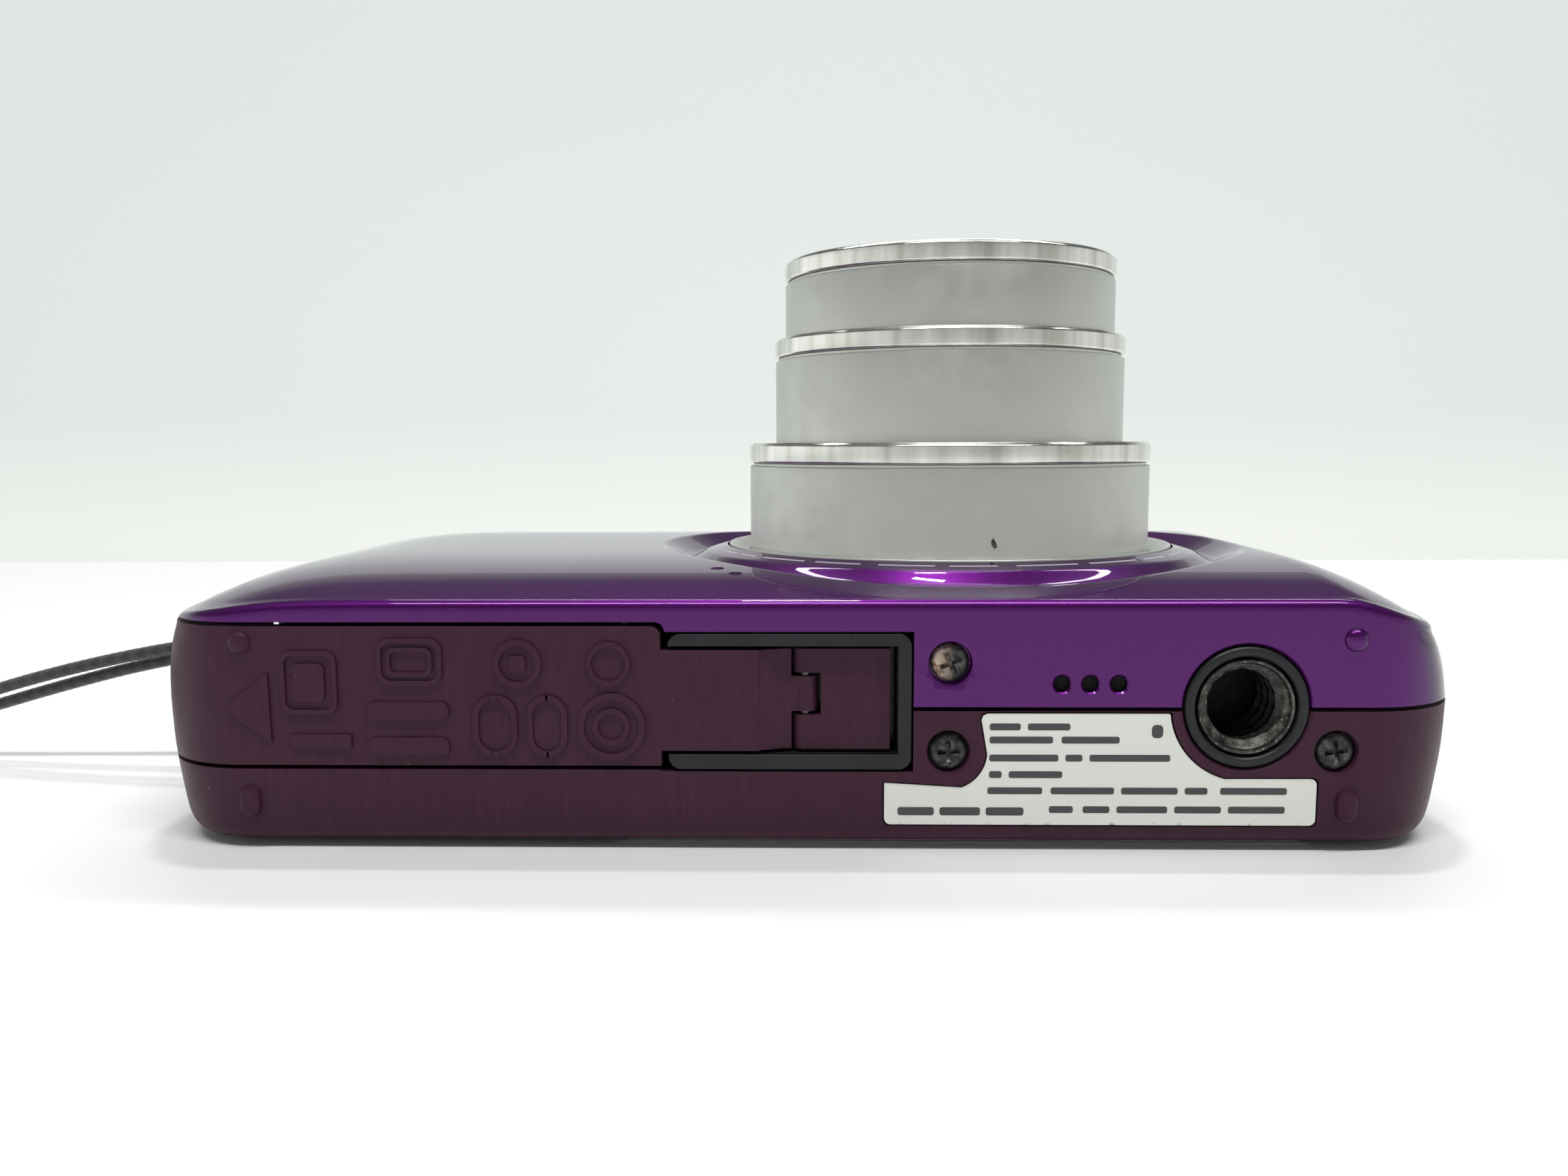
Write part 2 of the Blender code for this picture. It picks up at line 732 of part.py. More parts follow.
def barrier_blades(parent):
    """Two blades that swing over the opening; at rest they are swung aside, as when shooting."""
    for number, name in enumerate(("barrier_blade_a", "barrier_blade_b")):
        half_turn = Matrix.Rotation(math.pi * number, 2)
        centre = half_turn @ Vector((BLADE_PIVOT, 0.0))
        empty = axis_empty(f"{name}_axis", (LENS_X + centre.x, centre.y, BLADE_Z))
        empty.parent = parent
        empty.matrix_parent_inverse = parent.matrix_world.inverted()
        swing = Matrix.Rotation(math.radians(-BLADE_SWING), 2)
        outline = []
        for point in blade_outline():
            aside = centre + swing @ (half_turn @ Vector(point) - centre)
            outline.append((LENS_X + aside.x, aside.y))
        make(name, prism(outline, BLADE_Z, BLADE_Z + 0.3), black(), empty)


def lens_glass(parents):
    front = [(0, 42.4), (3.5, 42.1), (6.2, 41.5), (8.0, 40.6), (8.0, 38.4), (0, 38.4)]
    make("front_lens", turned(front, LENS, count=32), glass(), parents[2])
    carrier = [(8.3, 41.0), (13.6, 41.0), (13.6, 38.0), (5.5, 38.0), (5.5, 38.2), (8.3, 38.2)]
    make("front_lens_carrier", turned(carrier, LENS, count=24), black(), parents[2])
    rear = [(0, 26.8), (4.5, 26.5), (6.0, 25.8), (14.2, 25.6), (14.2, 24.6), (6.0, 24.6), (4.5, 24.0),
            (0, 23.7)]
    make("rear_lens_group", turned(rear, LENS, count=24), glass(), parents[1])


# ---------------------------------------------------------------- inside

def image_sensor():
    item = make("image_sensor", box(7.4, 18.9, -5.2, 5.2, 4.0, 5.0), board_green())
    join(item, box(9.6, 16.8, -3.2, 3.2, 4.9, 5.7))


def chassis():
    plate = prism(rounded(-44.6, 44.6, -25.0, 25.0, 5.0), 3.3, 3.75)
    item = make("main_chassis", plate, steel())
    cut(item, box(23, 46, -26, -18, 3, 4), box(7.1, 19.2, -5.5, 5.5, 3, 4))
    join(item, box(34.5, 41, -9, 18, 3.5, 4.6))


def main_board():
    outline = [(-45, -22), (-9, -22), (-9, 8), (-10.5, 12), (-10.5, 24), (-42, 24), (-45, 20)]
    item = make("main_board", prism(outline, 4.2, 5.0), board_green())
    join(
        item,
        box(-30, -19, -8, 3, 4.8, 5.9),
        box(-41, -34, 8, 14, 4.8, 5.7),
        box(-27, -14, 14, 20, 4.8, 5.8),
    )


def screen():
    glass_look = material("screen_glass", (0.01, 0.01, 0.012), 0.05)
    outline = rounded(*WINDOW, WINDOW_RADIUS, 6)
    inner = rounded(*[w + s * 0.3 for w, s in zip(WINDOW, (1, -1, 1, -1))], WINDOW_RADIUS - 0.3, 6)
    levels = (0.0, 0.12, 0.5, 1.05)
    rings = [[(*p, z) for p in (inner if z == 0.0 else outline)] for z in levels]
    make("lcd_window", loft(rings), glass_look)
    panel = material("lcd_panel", (0.02, 0.025, 0.03), 0.3)
    make("lcd_panel", box(-15, 38.5, -22, 20.5, 1.35, 3.0), panel)


def battery_parts():
    grey = material("battery_grey", (0.11, 0.11, 0.12), 0.5)
    outer = box(-43.3, -10.4, -26.0, 15.8, 6.3, 13.9)
    bay = make("battery_bay", outer, black())
    cut(bay, box(-42.5, -11.0, -30, 15.0, 7.0, 13.35))
    body = rounded(-42.25, -11.3, 7.2, 13.15, 1.2, 3)
    make("battery", prism(body, -25.4, 13.9, "Y"), grey)
    brass = material("contact_brass", (0.55, 0.4, 0.15), 0.3, 1.0)
    contacts = make("battery_contacts", box(-38, -28, 14.55, 14.85, 8.2, 11.8), brass)
    for x in (-36.5, -33.0, -29.5):
        join(contacts, box(x - 0.5, x + 0.5, 14.1, 14.7, 9.0, 11.0))
    slot = make("card_slot", box(-38.4, -12.6, -25.6, 7.6, 14.15, 16.95), steel())
    cut(slot, box(-37.9, -13.1, -30, 7.2, 14.45, 16.7))
    orange = material("latch_orange", (0.55, 0.13, 0.02), 0.45)
    latch = make("battery_latch", box(-41.6, -39.0, -26.9, -26.25, 12.7, 15.4), orange)
    join(latch, box(-41.6, -39.0, -26.4, -22.0, 14.2, 15.4))


def flash_outline(grow=0.0):
    return rounded(-4.0 - grow, 7.0 + grow, 21.9 - grow, 26.2 + grow, 1.0, 3)


def flash_parts():
    clear = material("flash_lens", (0.75, 0.78, 0.76), 0.12, 0.0, 0.5)
    item = make("flash_window", envelope(), clear)
    keep(item, prism(flash_outline(), 17.0, 22))
    cut(item, box(-10, 12, 20, 28, 10, 17.6))
    reflector = make("flash_reflector", box(-3.4, 6.4, 22.3, 26.0, 13.4, 17.0), steel())
    cut(reflector, box(-2.9, 5.9, 22.8, 25.5, 14.0, 18))
    profile = [(0, 20.0), (1.0, 19.9), (1.3, 19.6), (1.3, 17.0), (0, 17.0)]
    make("self_timer_lamp", turned(profile, LAMP, count=20), clear)
    dark = material("capacitor_sleeve", (0.03, 0.03, 0.035), 0.35)
    make("flash_capacitor", rod(3.3, -8, 22, (37.3, 9.2), "Y", 24), dark)


def microphone():
    make("microphone", rod(2.0, 16.0, 17.3, (-5.7, -21.2), "Z", 20), steel())


def zoom_motor():
    item = make("zoom_motor", rod(3.0, 5.3, 12.4, (-5.9, -17.0), "Z", 24), steel())
    join(item, box(-8.6, -3.2, -19.8, -14.2, 12.2, 15.6), rod(1.1, 15.5, 16.6, (-5.9, -17.0), "Z", 16))


def multi_connector():
    outline = rounded(PORT_Y[0] + 0.25, PORT_Y[1] - 0.25, PORT_Z[0] + 0.25, PORT_Z[1] - 0.25, 0.5, 3)
    item = make("multi_connector", prism(outline, 42.2, 48.0, "X"), steel())
    hollow = rounded(PORT_Y[0] + 0.6, PORT_Y[1] - 0.6, PORT_Z[0] + 0.6, PORT_Z[1] - 0.6, 0.35, 3)
    cut(item, prism(hollow, 43.2, 50, "X"))
    join(item, box(43.0, 47.4, 4.3, 9.7, 7.1, 7.6))


# ---------------------------------------------------------------- controls

def top_plate_zone(grow=0.0):
    x0, x1, z0, z1 = TOP_PLATE
    return prism(rounded(x0 - grow, x1 + grow, z0 - grow, z1 + grow, 6.4 + grow, 6), 26.5, 35, "Y")


def top_controls():
    item = make("top_control_plate", top_plate_zone(), black())
    cut(
        item,
        box(-60, 0, 28.6, 40, 0, 22),
        box(-60, 0, 20, 27.3, 0, 22),
        rod(SHUTTER_RADIUS - 0.9, 20, 40, SHUTTER, "Y", 32),
        rod(POWER_RADIUS + 0.25, 20, 40, POWER, "Y", 24),
    )
    join(item, tube(3.15, 3.5, 28.4, 29.0, SHUTTER, "Y", 32))
    cut(item, rod(SHUTTER_RADIUS - 0.9, 20, 40, SHUTTER, "Y", 32))

    lever = axis_empty("zoom_lever_axis", (SHUTTER[0], 29.5, SHUTTER[1]))
    ring = make("zoom_lever", tube(SHUTTER_RADIUS + 0.25, LEVER_RADIUS, 28.9, 30.3, SHUTTER, "Y", 40),
                silver(), lever)
    x, z = SHUTTER
    tab = [(x - 1.8, z + 5.0), (x + 1.8, z + 5.0), (x + 1.1, z + 7.6), (x - 1.1, z + 7.6)]
    join(ring, prism(tab, 28.95, 30.9, "Y"))

    cap = [(0, 31.3), (3.0, 31.25), (3.8, 30.9), (SHUTTER_RADIUS, 30.5), (SHUTTER_RADIUS, 29.9),
           (2.7, 29.9), (2.7, 26.6), (3.6, 26.6), (3.6, 26.1), (0, 26.1)]
    make("shutter_button", turned(cap, SHUTTER, "Y", 24), polished())
    cap = [(0, 28.95), (1.9, 28.9), (POWER_RADIUS, 28.6), (POWER_RADIUS, 27.0), (3.1, 27.0),
           (3.1, 26.4), (0, 26.4)]
    make("power_button", turned(cap, POWER, "Y", 24), silver())


def back_controls():
    for name, (x, y, radius) in BACK_BUTTONS.items():
        cap = [(0, 0.15), (radius - 0.5, 0.17), (radius, 0.45), (radius, 2.0), (radius + 0.6, 2.0),
               (radius + 0.6, 2.6), (0, 2.6)]
        make(name, turned(cap, (x, y), "Z", 20), black())
    x, y = PAD_CENTRE
    seat = axis_empty("pad_seat_axis", (x, y, 2.3))
    pad = axis_empty("pad_axis", (x, y, 2.2))
    pad.parent = seat
    pad.matrix_parent_inverse = seat.matrix_world.inverted()
    inner = OK_RADIUS + 0.35
    profile = [(inner + 0.3, 0.16), (PAD_RADIUS - 0.8, 0.16), (PAD_RADIUS, 0.5), (PAD_RADIUS, 2.25),
               (9.9, 2.25), (9.9, 2.5), (inner, 2.5), (inner, 0.4)]
    make("four_way_pad", turned(profile, PAD_CENTRE, "Z", 32), black(), pad)
    rubber = material("rubber_grey", (0.06, 0.06, 0.06), 0.8)
    make("pad_seat", tube(4.6, 7.0, 2.68, 2.93, PAD_CENTRE, "Z", 28), rubber, seat)
    cap = [(0, 0.15), (OK_RADIUS - 0.6, 0.17), (OK_RADIUS, 0.45), (OK_RADIUS, 2.5), (0, 2.5)]
    make("ok_button", turned(cap, PAD_CENTRE, "Z", 24), black())


# ---------------------------------------------------------------- strap

def strap_eyelet():
    x, y, z = EYELET
    item = make("strap_eyelet", box(-44.9, -44.4, y - 3.6, y + 3.6, z - 2.9, z + 2.9), steel())
    join(
        item,
        box(x - 0.35, -44.6, y - 0.4, y + 0.4, z + 1.5, z + 2.1),
        box(x - 0.35, -44.6, y - 0.4, y + 0.4, z - 2.1, z - 1.5),
        rod(0.45, z - 2.1, z + 2.1, (x, y), "Z", 12),
    )


# Strand routes: (x, y, z) from the eyelet's bar out and down to the joint
STRAND_A = (
    (-48.1, -4.75, 11.95), (-50.5, -4.6, 11.75), (-54.0, -4.4, 11.35), (-58.0, -4.2, 10.75),
    (-62.5, -3.95, 9.9), (-67.0, -3.7, 8.9), (-71.5, -3.4, 7.75), (-76.0, -3.1, 6.45),
    (-80.5, -2.8, 5.1), (-84.5, -2.55, 3.95), (-88.0, -2.35, 3.15), (-90.5, -2.2, 2.75),
    (-92.7, -2.1, 2.5),
)
STRAND_B = (
    (-48.1, -3.25, 11.15), (-50.5, -3.3, 10.85), (-54.0, -3.35, 10.35), (-58.0, -3.35, 9.65),
    (-62.5, -3.25, 8.7), (-67.0, -3.0, 7.55), (-71.5, -2.6, 6.3), (-76.0, -2.15, 5.0),
    (-80.5, -1.7, 3.8), (-84.5, -1.35, 2.9), (-88.0, -1.15, 2.4), (-90.5, -1.05, 2.2),
    (-92.7, -1.0, 2.15),
)


def smooth_route(points, count):
    """Points at even steps along a Catmull-Rom curve through the route."""
    dense = []
    padded = [points[0], *points, points[-1]]
    for a, b, c, d in zip(padded, padded[1:], padded[2:], padded[3:]):
        for i in range(12):
            t = i / 12
            dense.append(Vector([
                0.5 * (2 * q + (r - p) * t + (2 * p - 5 * q + 4 * r - s) * t * t
                       + (3 * q - p - 3 * r + s) * t ** 3)
                for p, q, r, s in zip(a, b, c, d)
            ]))
    dense.append(Vector(points[-1]))
    lengths = [0.0]
    for first, second in zip(dense, dense[1:]):
        lengths.append(lengths[-1] + (second - first).length)
    route = []
    for i in range(count):
        wanted = lengths[-1] * i / (count - 1)
        k = max(j for j in range(len(lengths) - 1) if lengths[j] <= wanted)
        share = (wanted - lengths[k]) / (lengths[k + 1] - lengths[k])
        route.append(dense[k].lerp(dense[k + 1], min(1.0, share)))
    return route


def strand(name, points):
    curve = bpy.data.curves.new(name, "CURVE")
    curve.dimensions = "3D"
    curve.bevel_depth = STRAND_RADIUS * MM
    curve.bevel_resolution = 2
    curve.use_fill_caps = True
    route = smooth_route(points, 19)
    line = curve.splines.new("POLY")
    line.points.add(len(route) - 1)
    for place, point in zip(line.points, route):
        place.co = (*(point * MM), 1.0)
    curve.materials.append(black())
    item = bpy.data.objects.new(name, curve)
    bpy.context.collection.objects.link(item)


def strap_joint():
    """The moulded sleeve that joins the thin loop to the wrist cord."""
    x0, y, z = JOINT_START
    x1 = JOINT_END[0]
    sections = ((x0, 1.7, 1.2), (x0 - 0.8, 2.2, 1.5), (x0 - 4.0, 2.7, 1.9), (x1 + 1.0, 3.1, 2.0),
                (x1, 2.95, 1.8))
    rings = []
    for x, half_width, half_height in sections:
        turn = [2 * math.pi * i / 16 for i in range(16)]
        rings.append([(x, y + half_width * math.cos(a), z + half_height * math.sin(a)) for a in turn])
    make("strap_joint", loft(rings), black())


def wrist_cord_coil():
    """The wrist loop's doubled cord wound flat, with the straight pair that leads in from the joint."""
    inner, outer = COIL_RADII
    profile = [(outer - 0.8, 0.05), (outer, 0.9), (outer, COIL_HEIGHT - 0.9), (outer - 0.9, COIL_HEIGHT),
               (inner + 0.9, COIL_HEIGHT), (inner, COIL_HEIGHT - 0.9), (inner, 0.9), (inner + 0.8, 0.05)]
    item = make("wrist_cord_coil", turned(profile, COIL_CENTRE, count=32), black())
    end, middle = JOINT_END[0] - SEAM, JOINT_END[1]
    pair = 2 * CORD_RADIUS + 0.05
    join(item, box(COIL_CENTRE[0], end, middle - pair, middle + pair, 0.1, COIL_HEIGHT - 0.1))


# ---------------------------------------------------------------- assembly

def build_camera():
    clear_scene()
    front_cover()
    rear_cover()
    battery_door()
    door_slider()
    door_rail_frame()
    pin = rod(0.38, TAIL_LOW + 0.2, TAIL_HIGH - 0.2, (HINGE_X, HINGE_Y), "Z", 12)
    make("door_hinge_pin", pin, steel())
    screws()
    tripod_socket()
    rating_label()
    speaker()
    lens_trim_ring()
    lens_base()
    parents = lens_barrels()
    front_bezel(parents[2])
    barrier_blades(parents[2])
    lens_glass(parents)
    image_sensor()
    chassis()
    main_board()
    screen()
    battery_parts()
    flash_parts()
    microphone()
    zoom_motor()
    multi_connector()
    top_controls()
    back_controls()
    strap_eyelet()
    strand("strap_strand_a", STRAND_A)
    strand("strap_strand_b", STRAND_B)
    strap_joint()
    wrist_cord_coil()


build_camera()
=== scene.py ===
"""The looks of a pocket camera that lies on its screen with its zoom lens out.

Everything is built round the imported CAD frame. Sizes and places below are in millimetres in the
frame of the part: the origin is on the screen's outer face, +Z points out of the lens, +X along the
long side and +Y to the shutter button. The meshes are written in metres.
"""
import math

import bmesh
import bpy
from mathutils import Matrix, Vector


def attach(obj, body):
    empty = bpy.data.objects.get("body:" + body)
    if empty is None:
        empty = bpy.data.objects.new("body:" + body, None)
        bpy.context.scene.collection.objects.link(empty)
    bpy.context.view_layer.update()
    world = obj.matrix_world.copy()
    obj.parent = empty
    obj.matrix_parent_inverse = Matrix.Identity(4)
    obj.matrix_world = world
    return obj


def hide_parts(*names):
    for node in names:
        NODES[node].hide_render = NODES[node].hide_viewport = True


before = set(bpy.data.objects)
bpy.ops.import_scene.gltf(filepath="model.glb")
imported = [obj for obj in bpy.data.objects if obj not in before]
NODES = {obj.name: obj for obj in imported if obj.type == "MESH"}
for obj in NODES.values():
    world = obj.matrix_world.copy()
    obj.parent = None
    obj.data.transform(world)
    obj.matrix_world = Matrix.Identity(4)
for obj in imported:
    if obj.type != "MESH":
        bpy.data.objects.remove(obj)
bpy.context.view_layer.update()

MM = 0.001
ROOT = "camera_body"

# Body, as in the part
HALF_LENGTH = 48.4
HALF_HEIGHT = 28.5
PLAN_RADIUS = 8.0
BACK_Z = 0.4
PART_Z = 10.4
FACE_Z = 20.1
WALL = 1.2
SEAM = 0.3
CROWN = (2.0, 28.2, 4.5)
LEFT_FALL = (-24.8, 3.84, 5.1)
RIGHT_FALL = (38.5, 4.9, 1.5)

# Lens, as in the part
LENS = (13.17, 0.0)
DISH_RADIUS = 26.0
PLATEAU_RADIUS = 22.0
PLATEAU_Z = 19.6
MOUTH_RADIUS = 20.1
MOUTH_Z = 20.07
BARREL_RADII = (17.98, 15.60, 14.69)
BARREL_WALLS = (0.95, 0.8, 0.8)
BARREL_BOTTOMS = (15.2, 24.4, 32.6)
RING_BOTTOMS = (27.22, 36.52, 43.28)
RING_TOPS = (29.23, 38.43, 45.2)
RUNNING_GAP = 0.28
APERTURE = 5.6

# Bottom, as in the part: places are (x, z)
STEP_X = -41.85
DOOR_LEFT = -9.75
DOOR_LOW = 6.1
DOOR_HIGH = 16.5
DOOR_WRAP_Y = -20.4
DOOR_WALL = 1.3
TAIL_LOW = 7.35
TAIL_HIGH = 14.65
TAIL_END = -2.9
RAILS = (-9.4, 7.95, 6.0, 15.8)
HINGE = (0.4, -27.0)
KNUCKLE_RADIUS = 0.9
SCREWS = {
    "bottom_screw_front": (10.67, 13.7, 24),
    "bottom_screw_rear": (10.6, 7.3, 4),
    "bottom_screw_end": (37.97, 7.34, 9),
}
COUNTERBORE = 1.5
COUNTERBORE_DEPTH = 0.9
SPEAKER_HOLES = (18.56, 20.56, 22.56)
SPEAKER_Z = 12.2
TRIPOD = (31.57, 10.55)
COLLAR_RADIUS = 4.35
LABEL_POCKET = 0.45
MIC_HOLES = ((-6.4, -20.3), (-4.9, -22.1))

# Only here: room for the latch inside the door, and levels well outside the body for cutting shapes
LATCH_ROOM = 0.15
FAR_X = 60
FAR_Y = 40

# Back, end and top, as in the part
WINDOW = (-19.0, 43.0, -26.2, 24.0)
WINDOW_RADIUS = 7.0
PAD_CENTRE = (-33.0, -3.0)
PAD_RADIUS = 9.0
OK_RADIUS = 3.9
BACK_BUTTONS = {
    "movie_button": (-33.0, 19.0, 3.2),
    "play_button": (-41.0, 11.0, 2.6),
    "menu_button": (-25.0, 11.0, 2.6),
    "help_button": (-33.0, -18.5, 2.6),
}
LAMP = (25.5, 21.6)
PORT_Y = (3.0, 11.0)
PORT_Z = (5.8, 8.9)
SHUTTER = (-31.0, 10.0)
POWER = (-15.0, 10.0)
TOP_PLATE = (-41.0, -9.5, 3.4, 16.6)

# Strap, as in the part
EYELET = (-47.2, -4.0, 11.7)
STRAND_RADIUS = 0.55
STRAND_A = (
    (-48.1, -4.75, 11.95), (-50.5, -4.6, 11.75), (-54.0, -4.4, 11.35), (-58.0, -4.2, 10.75),
    (-62.5, -3.95, 9.9), (-67.0, -3.7, 8.9), (-71.5, -3.4, 7.75), (-76.0, -3.1, 6.45),
    (-80.5, -2.8, 5.1), (-84.5, -2.55, 3.95), (-88.0, -2.35, 3.15), (-90.5, -2.2, 2.75),
    (-92.7, -2.1, 2.5),
)
STRAND_B = (
    (-48.1, -3.25, 11.15), (-50.5, -3.3, 10.85), (-54.0, -3.35, 10.35), (-58.0, -3.35, 9.65),
    (-62.5, -3.25, 8.7), (-67.0, -3.0, 7.55), (-71.5, -2.6, 6.3), (-76.0, -2.15, 5.0),
    (-80.5, -1.7, 3.8), (-84.5, -1.35, 2.9), (-88.0, -1.15, 2.4), (-90.5, -1.05, 2.2),
    (-92.7, -1.0, 2.15),
)
JOINT_START = (-93.0, -1.5, 2.3)
JOINT_END = (-103.5, -1.5, 2.3)
CORD_RADIUS = 1.3
CORD_GAP = 0.1
COIL_CENTRE = (-118.2, 16.1)

# Strap, drawn here: the braid's pitch and the points along each route
STRAND_PITCH = 1.5
STRAND_STEPS = 220
CORD_PITCH = 3.2
CORD_STEPS = 640


# ---------------------------------------------------------------- camera

def make_camera():
    """The viewpoint: low in front of the bottom side, looking slightly down."""
    eye = Vector((1.114, -116.069, 29.191)) * MM
    yaw, pitch, roll = -0.025, 0.115, 0.004
    ahead = Vector((math.sin(yaw) * math.cos(pitch), math.cos(yaw) * math.cos(pitch), -math.sin(pitch)))
    right = Vector((math.cos(yaw), -math.sin(yaw), 0.0))
    down = ahead.cross(right)
    turned_right = right * math.cos(roll) + down * math.sin(roll)
    turned_down = down * math.cos(roll) - right * math.sin(roll)
    data = bpy.data.cameras.new("view")
    data.lens = 28.77
    data.sensor_width = 36.0
    data.clip_start = 0.005
    data.clip_end = 20.0
    item = bpy.data.objects.new("view", data)
    bpy.context.collection.objects.link(item)
    turn = Matrix((turned_right, -turned_down, -ahead)).transposed()
    item.matrix_world = Matrix.Translation(eye) @ turn.to_4x4()
    bpy.context.scene.camera = item


# ---------------------------------------------------------------- materials

class Look:
    """A Principled material with a few helpers that add procedural detail to it."""

    def __init__(self, name, colour, roughness, metallic=0.0, **sockets):
        self.material = bpy.data.materials.new(name)
        self.material.use_nodes = True
        self.tree = self.material.node_tree
        self.shader = self.tree.nodes["Principled BSDF"]
        self.colour = colour
        self.socket("Base Color").default_value = (*colour, 1.0)
        self.socket("Roughness").default_value = roughness
        self.socket("Metallic").default_value = metallic
        for key, value in sockets.items():
            self.socket(key.replace("_", " ")).default_value = value
        self.place = self.node("ShaderNodeTexCoord").outputs["Object"]
        self.height = None

    def socket(self, name):
        return self.shader.inputs[name]

    def node(self, kind, **inputs):
        made = self.tree.nodes.new(kind)
        for key, value in inputs.items():
            socket = made.inputs[key.replace("_", " ")]
            if isinstance(value, bpy.types.NodeSocket):
                self.tree.links.new(value, socket)
            else:
                socket.default_value = value
        return made

    def link(self, output, socket):
        self.tree.links.new(output, socket)

    def stretched(self, scale):
        """Coordinates stretched by a factor for each axis."""
        return self.node("ShaderNodeMapping", Vector=self.place, Scale=scale).outputs["Vector"]

    def noise(self, size, detail=3.0, rough=0.55, place=None):
        """Noise between 0 and 1 with patches of about the given size in millimetres."""
        made = self.node("ShaderNodeTexNoise", Scale=1.0 / (size * MM), Detail=detail, Roughness=rough)
        self.link(place or self.place, made.inputs["Vector"])
        return made.outputs["Fac"]

    def ramp(self, factor, low, high, start=0.0, end=1.0):
        """Map a factor between two levels to a value between two ends."""
        made = self.node("ShaderNodeMapRange", Value=factor, From_Min=low, From_Max=high,
                         To_Min=start, To_Max=end)
        return made.outputs["Result"]

    def math(self, operation, first, second=0.0):
        made = self.tree.nodes.new("ShaderNodeMath")
        made.operation = operation
        for socket, value in zip(made.inputs, (first, second)):
            if isinstance(value, bpy.types.NodeSocket):
                self.link(value, socket)
            else:
                socket.default_value = value
        return made.outputs[0]

    def axis(self, name):
        return self.node("ShaderNodeSeparateXYZ", Vector=self.place).outputs[name]

    def mix(self, factor, colour, base=None):
        """Blend the colour so far with another one and make it the base colour."""
        made = self.tree.nodes.new("ShaderNodeMix")
        made.data_type = "RGBA"
        self.link(factor, made.inputs[0])
        before = self.socket("Base Color")
        if before.is_linked:
            self.link(before.links[0].from_socket, made.inputs[6])
        else:
            made.inputs[6].default_value = (*(base or self.colour), 1.0)
        made.inputs[7].default_value = (*colour, 1.0)
        self.link(made.outputs[2], before)
        return self

    def patches(self, size, detail, low, high, amount, colour):
        """Patches of another colour where noise of a given size lies above a level."""
        return self.mix(self.ramp(self.noise(size, detail), low, high, 0.0, amount), colour)

    def rough(self, factor, low, high):
        self.link(self.ramp(factor, 0.3, 0.7, low, high), self.socket("Roughness"))
        return self

    def bump(self, height, distance, strength=1.0):
        """Raise the surface by up to the distance in millimetres; bumps add up."""
        made = self.node("ShaderNodeBump", Height=height, Distance=distance * MM, Strength=strength)
        if self.height:
            self.link(self.height, made.inputs["Normal"])
        self.height = made.outputs["Normal"]
        self.link(self.height, self.socket("Normal"))
        return self


LOOKS = {}


def look(name):
    if name not in LOOKS:
        LOOKS[name] = MAKERS[name]()
    return LOOKS[name]


def purple_look():
    made = Look("purple_lacquer", (0.085, 0.005, 0.125), 0.34, 0.72, Specular_Tint=(0.04, 0.0, 0.07, 1.0),
                Coat_Weight=1.0, Coat_Roughness=0.02, Coat_IOR=1.34)
    flake = made.noise(0.07, 1.0)
    made.mix(made.ramp(flake, 0.45, 0.75, 0.0, 0.55), (0.17, 0.02, 0.25))
    made.patches(30.0, 2.0, 0.3, 0.7, 0.25, (0.06, 0.004, 0.10))
    made.bump(flake, 0.004, 0.35)
    return made.material


def plum_look(name="plum_moulding", streak=0.35):
    made = Look(name, (0.05, 0.0155, 0.033), 0.42, 0.0, Specular_IOR_Level=0.16)
    brushed = made.noise(0.35, 2.0, 0.6, made.stretched((1.0, 1.0, 0.12)))
    made.mix(made.ramp(brushed, 0.35, 0.75, 0.0, streak), (0.075, 0.03, 0.054))
    made.patches(14.0, 3.0, 0.35, 0.7, 0.35, (0.042, 0.012, 0.027))
    speck = made.noise(0.55, 2.0)
    made.mix(made.ramp(speck, 0.76, 0.8, 0.0, 0.5), (0.22, 0.18, 0.19))
    made.rough(made.noise(6.0, 3.0), 0.36, 0.5)
    made.bump(made.noise(0.13, 2.0), 0.014, 0.6)
    made.bump(brushed, 0.01, 0.35)
    return made.material


def black_look(name="black_moulding", roughness=(0.3, 0.42), colour=(0.017, 0.018, 0.02)):
    made = Look(name, colour, roughness[0], 0.0, Specular_IOR_Level=0.25)
    made.patches(3.0, 3.0, 0.4, 0.75, 0.4, tuple(c * 1.9 for c in colour))
    made.rough(made.noise(2.0, 3.0), *roughness)
    made.bump(made.noise(0.16, 2.0), 0.01, 0.5)
    return made.material


def satin_look():
    made = Look("blasted_aluminium", (0.60, 0.615, 0.585), 0.42, 0.82)
    grain = made.noise(0.11, 2.0)
    made.mix(made.ramp(grain, 0.3, 0.75, 0.0, 0.3), (0.75, 0.76, 0.73))
    made.patches(9.0, 3.0, 0.4, 0.75, 0.2, (0.5, 0.51, 0.48))
    made.rough(made.noise(2.5, 3.0), 0.38, 0.48)
    made.bump(grain, 0.012, 0.6)
    return made.material


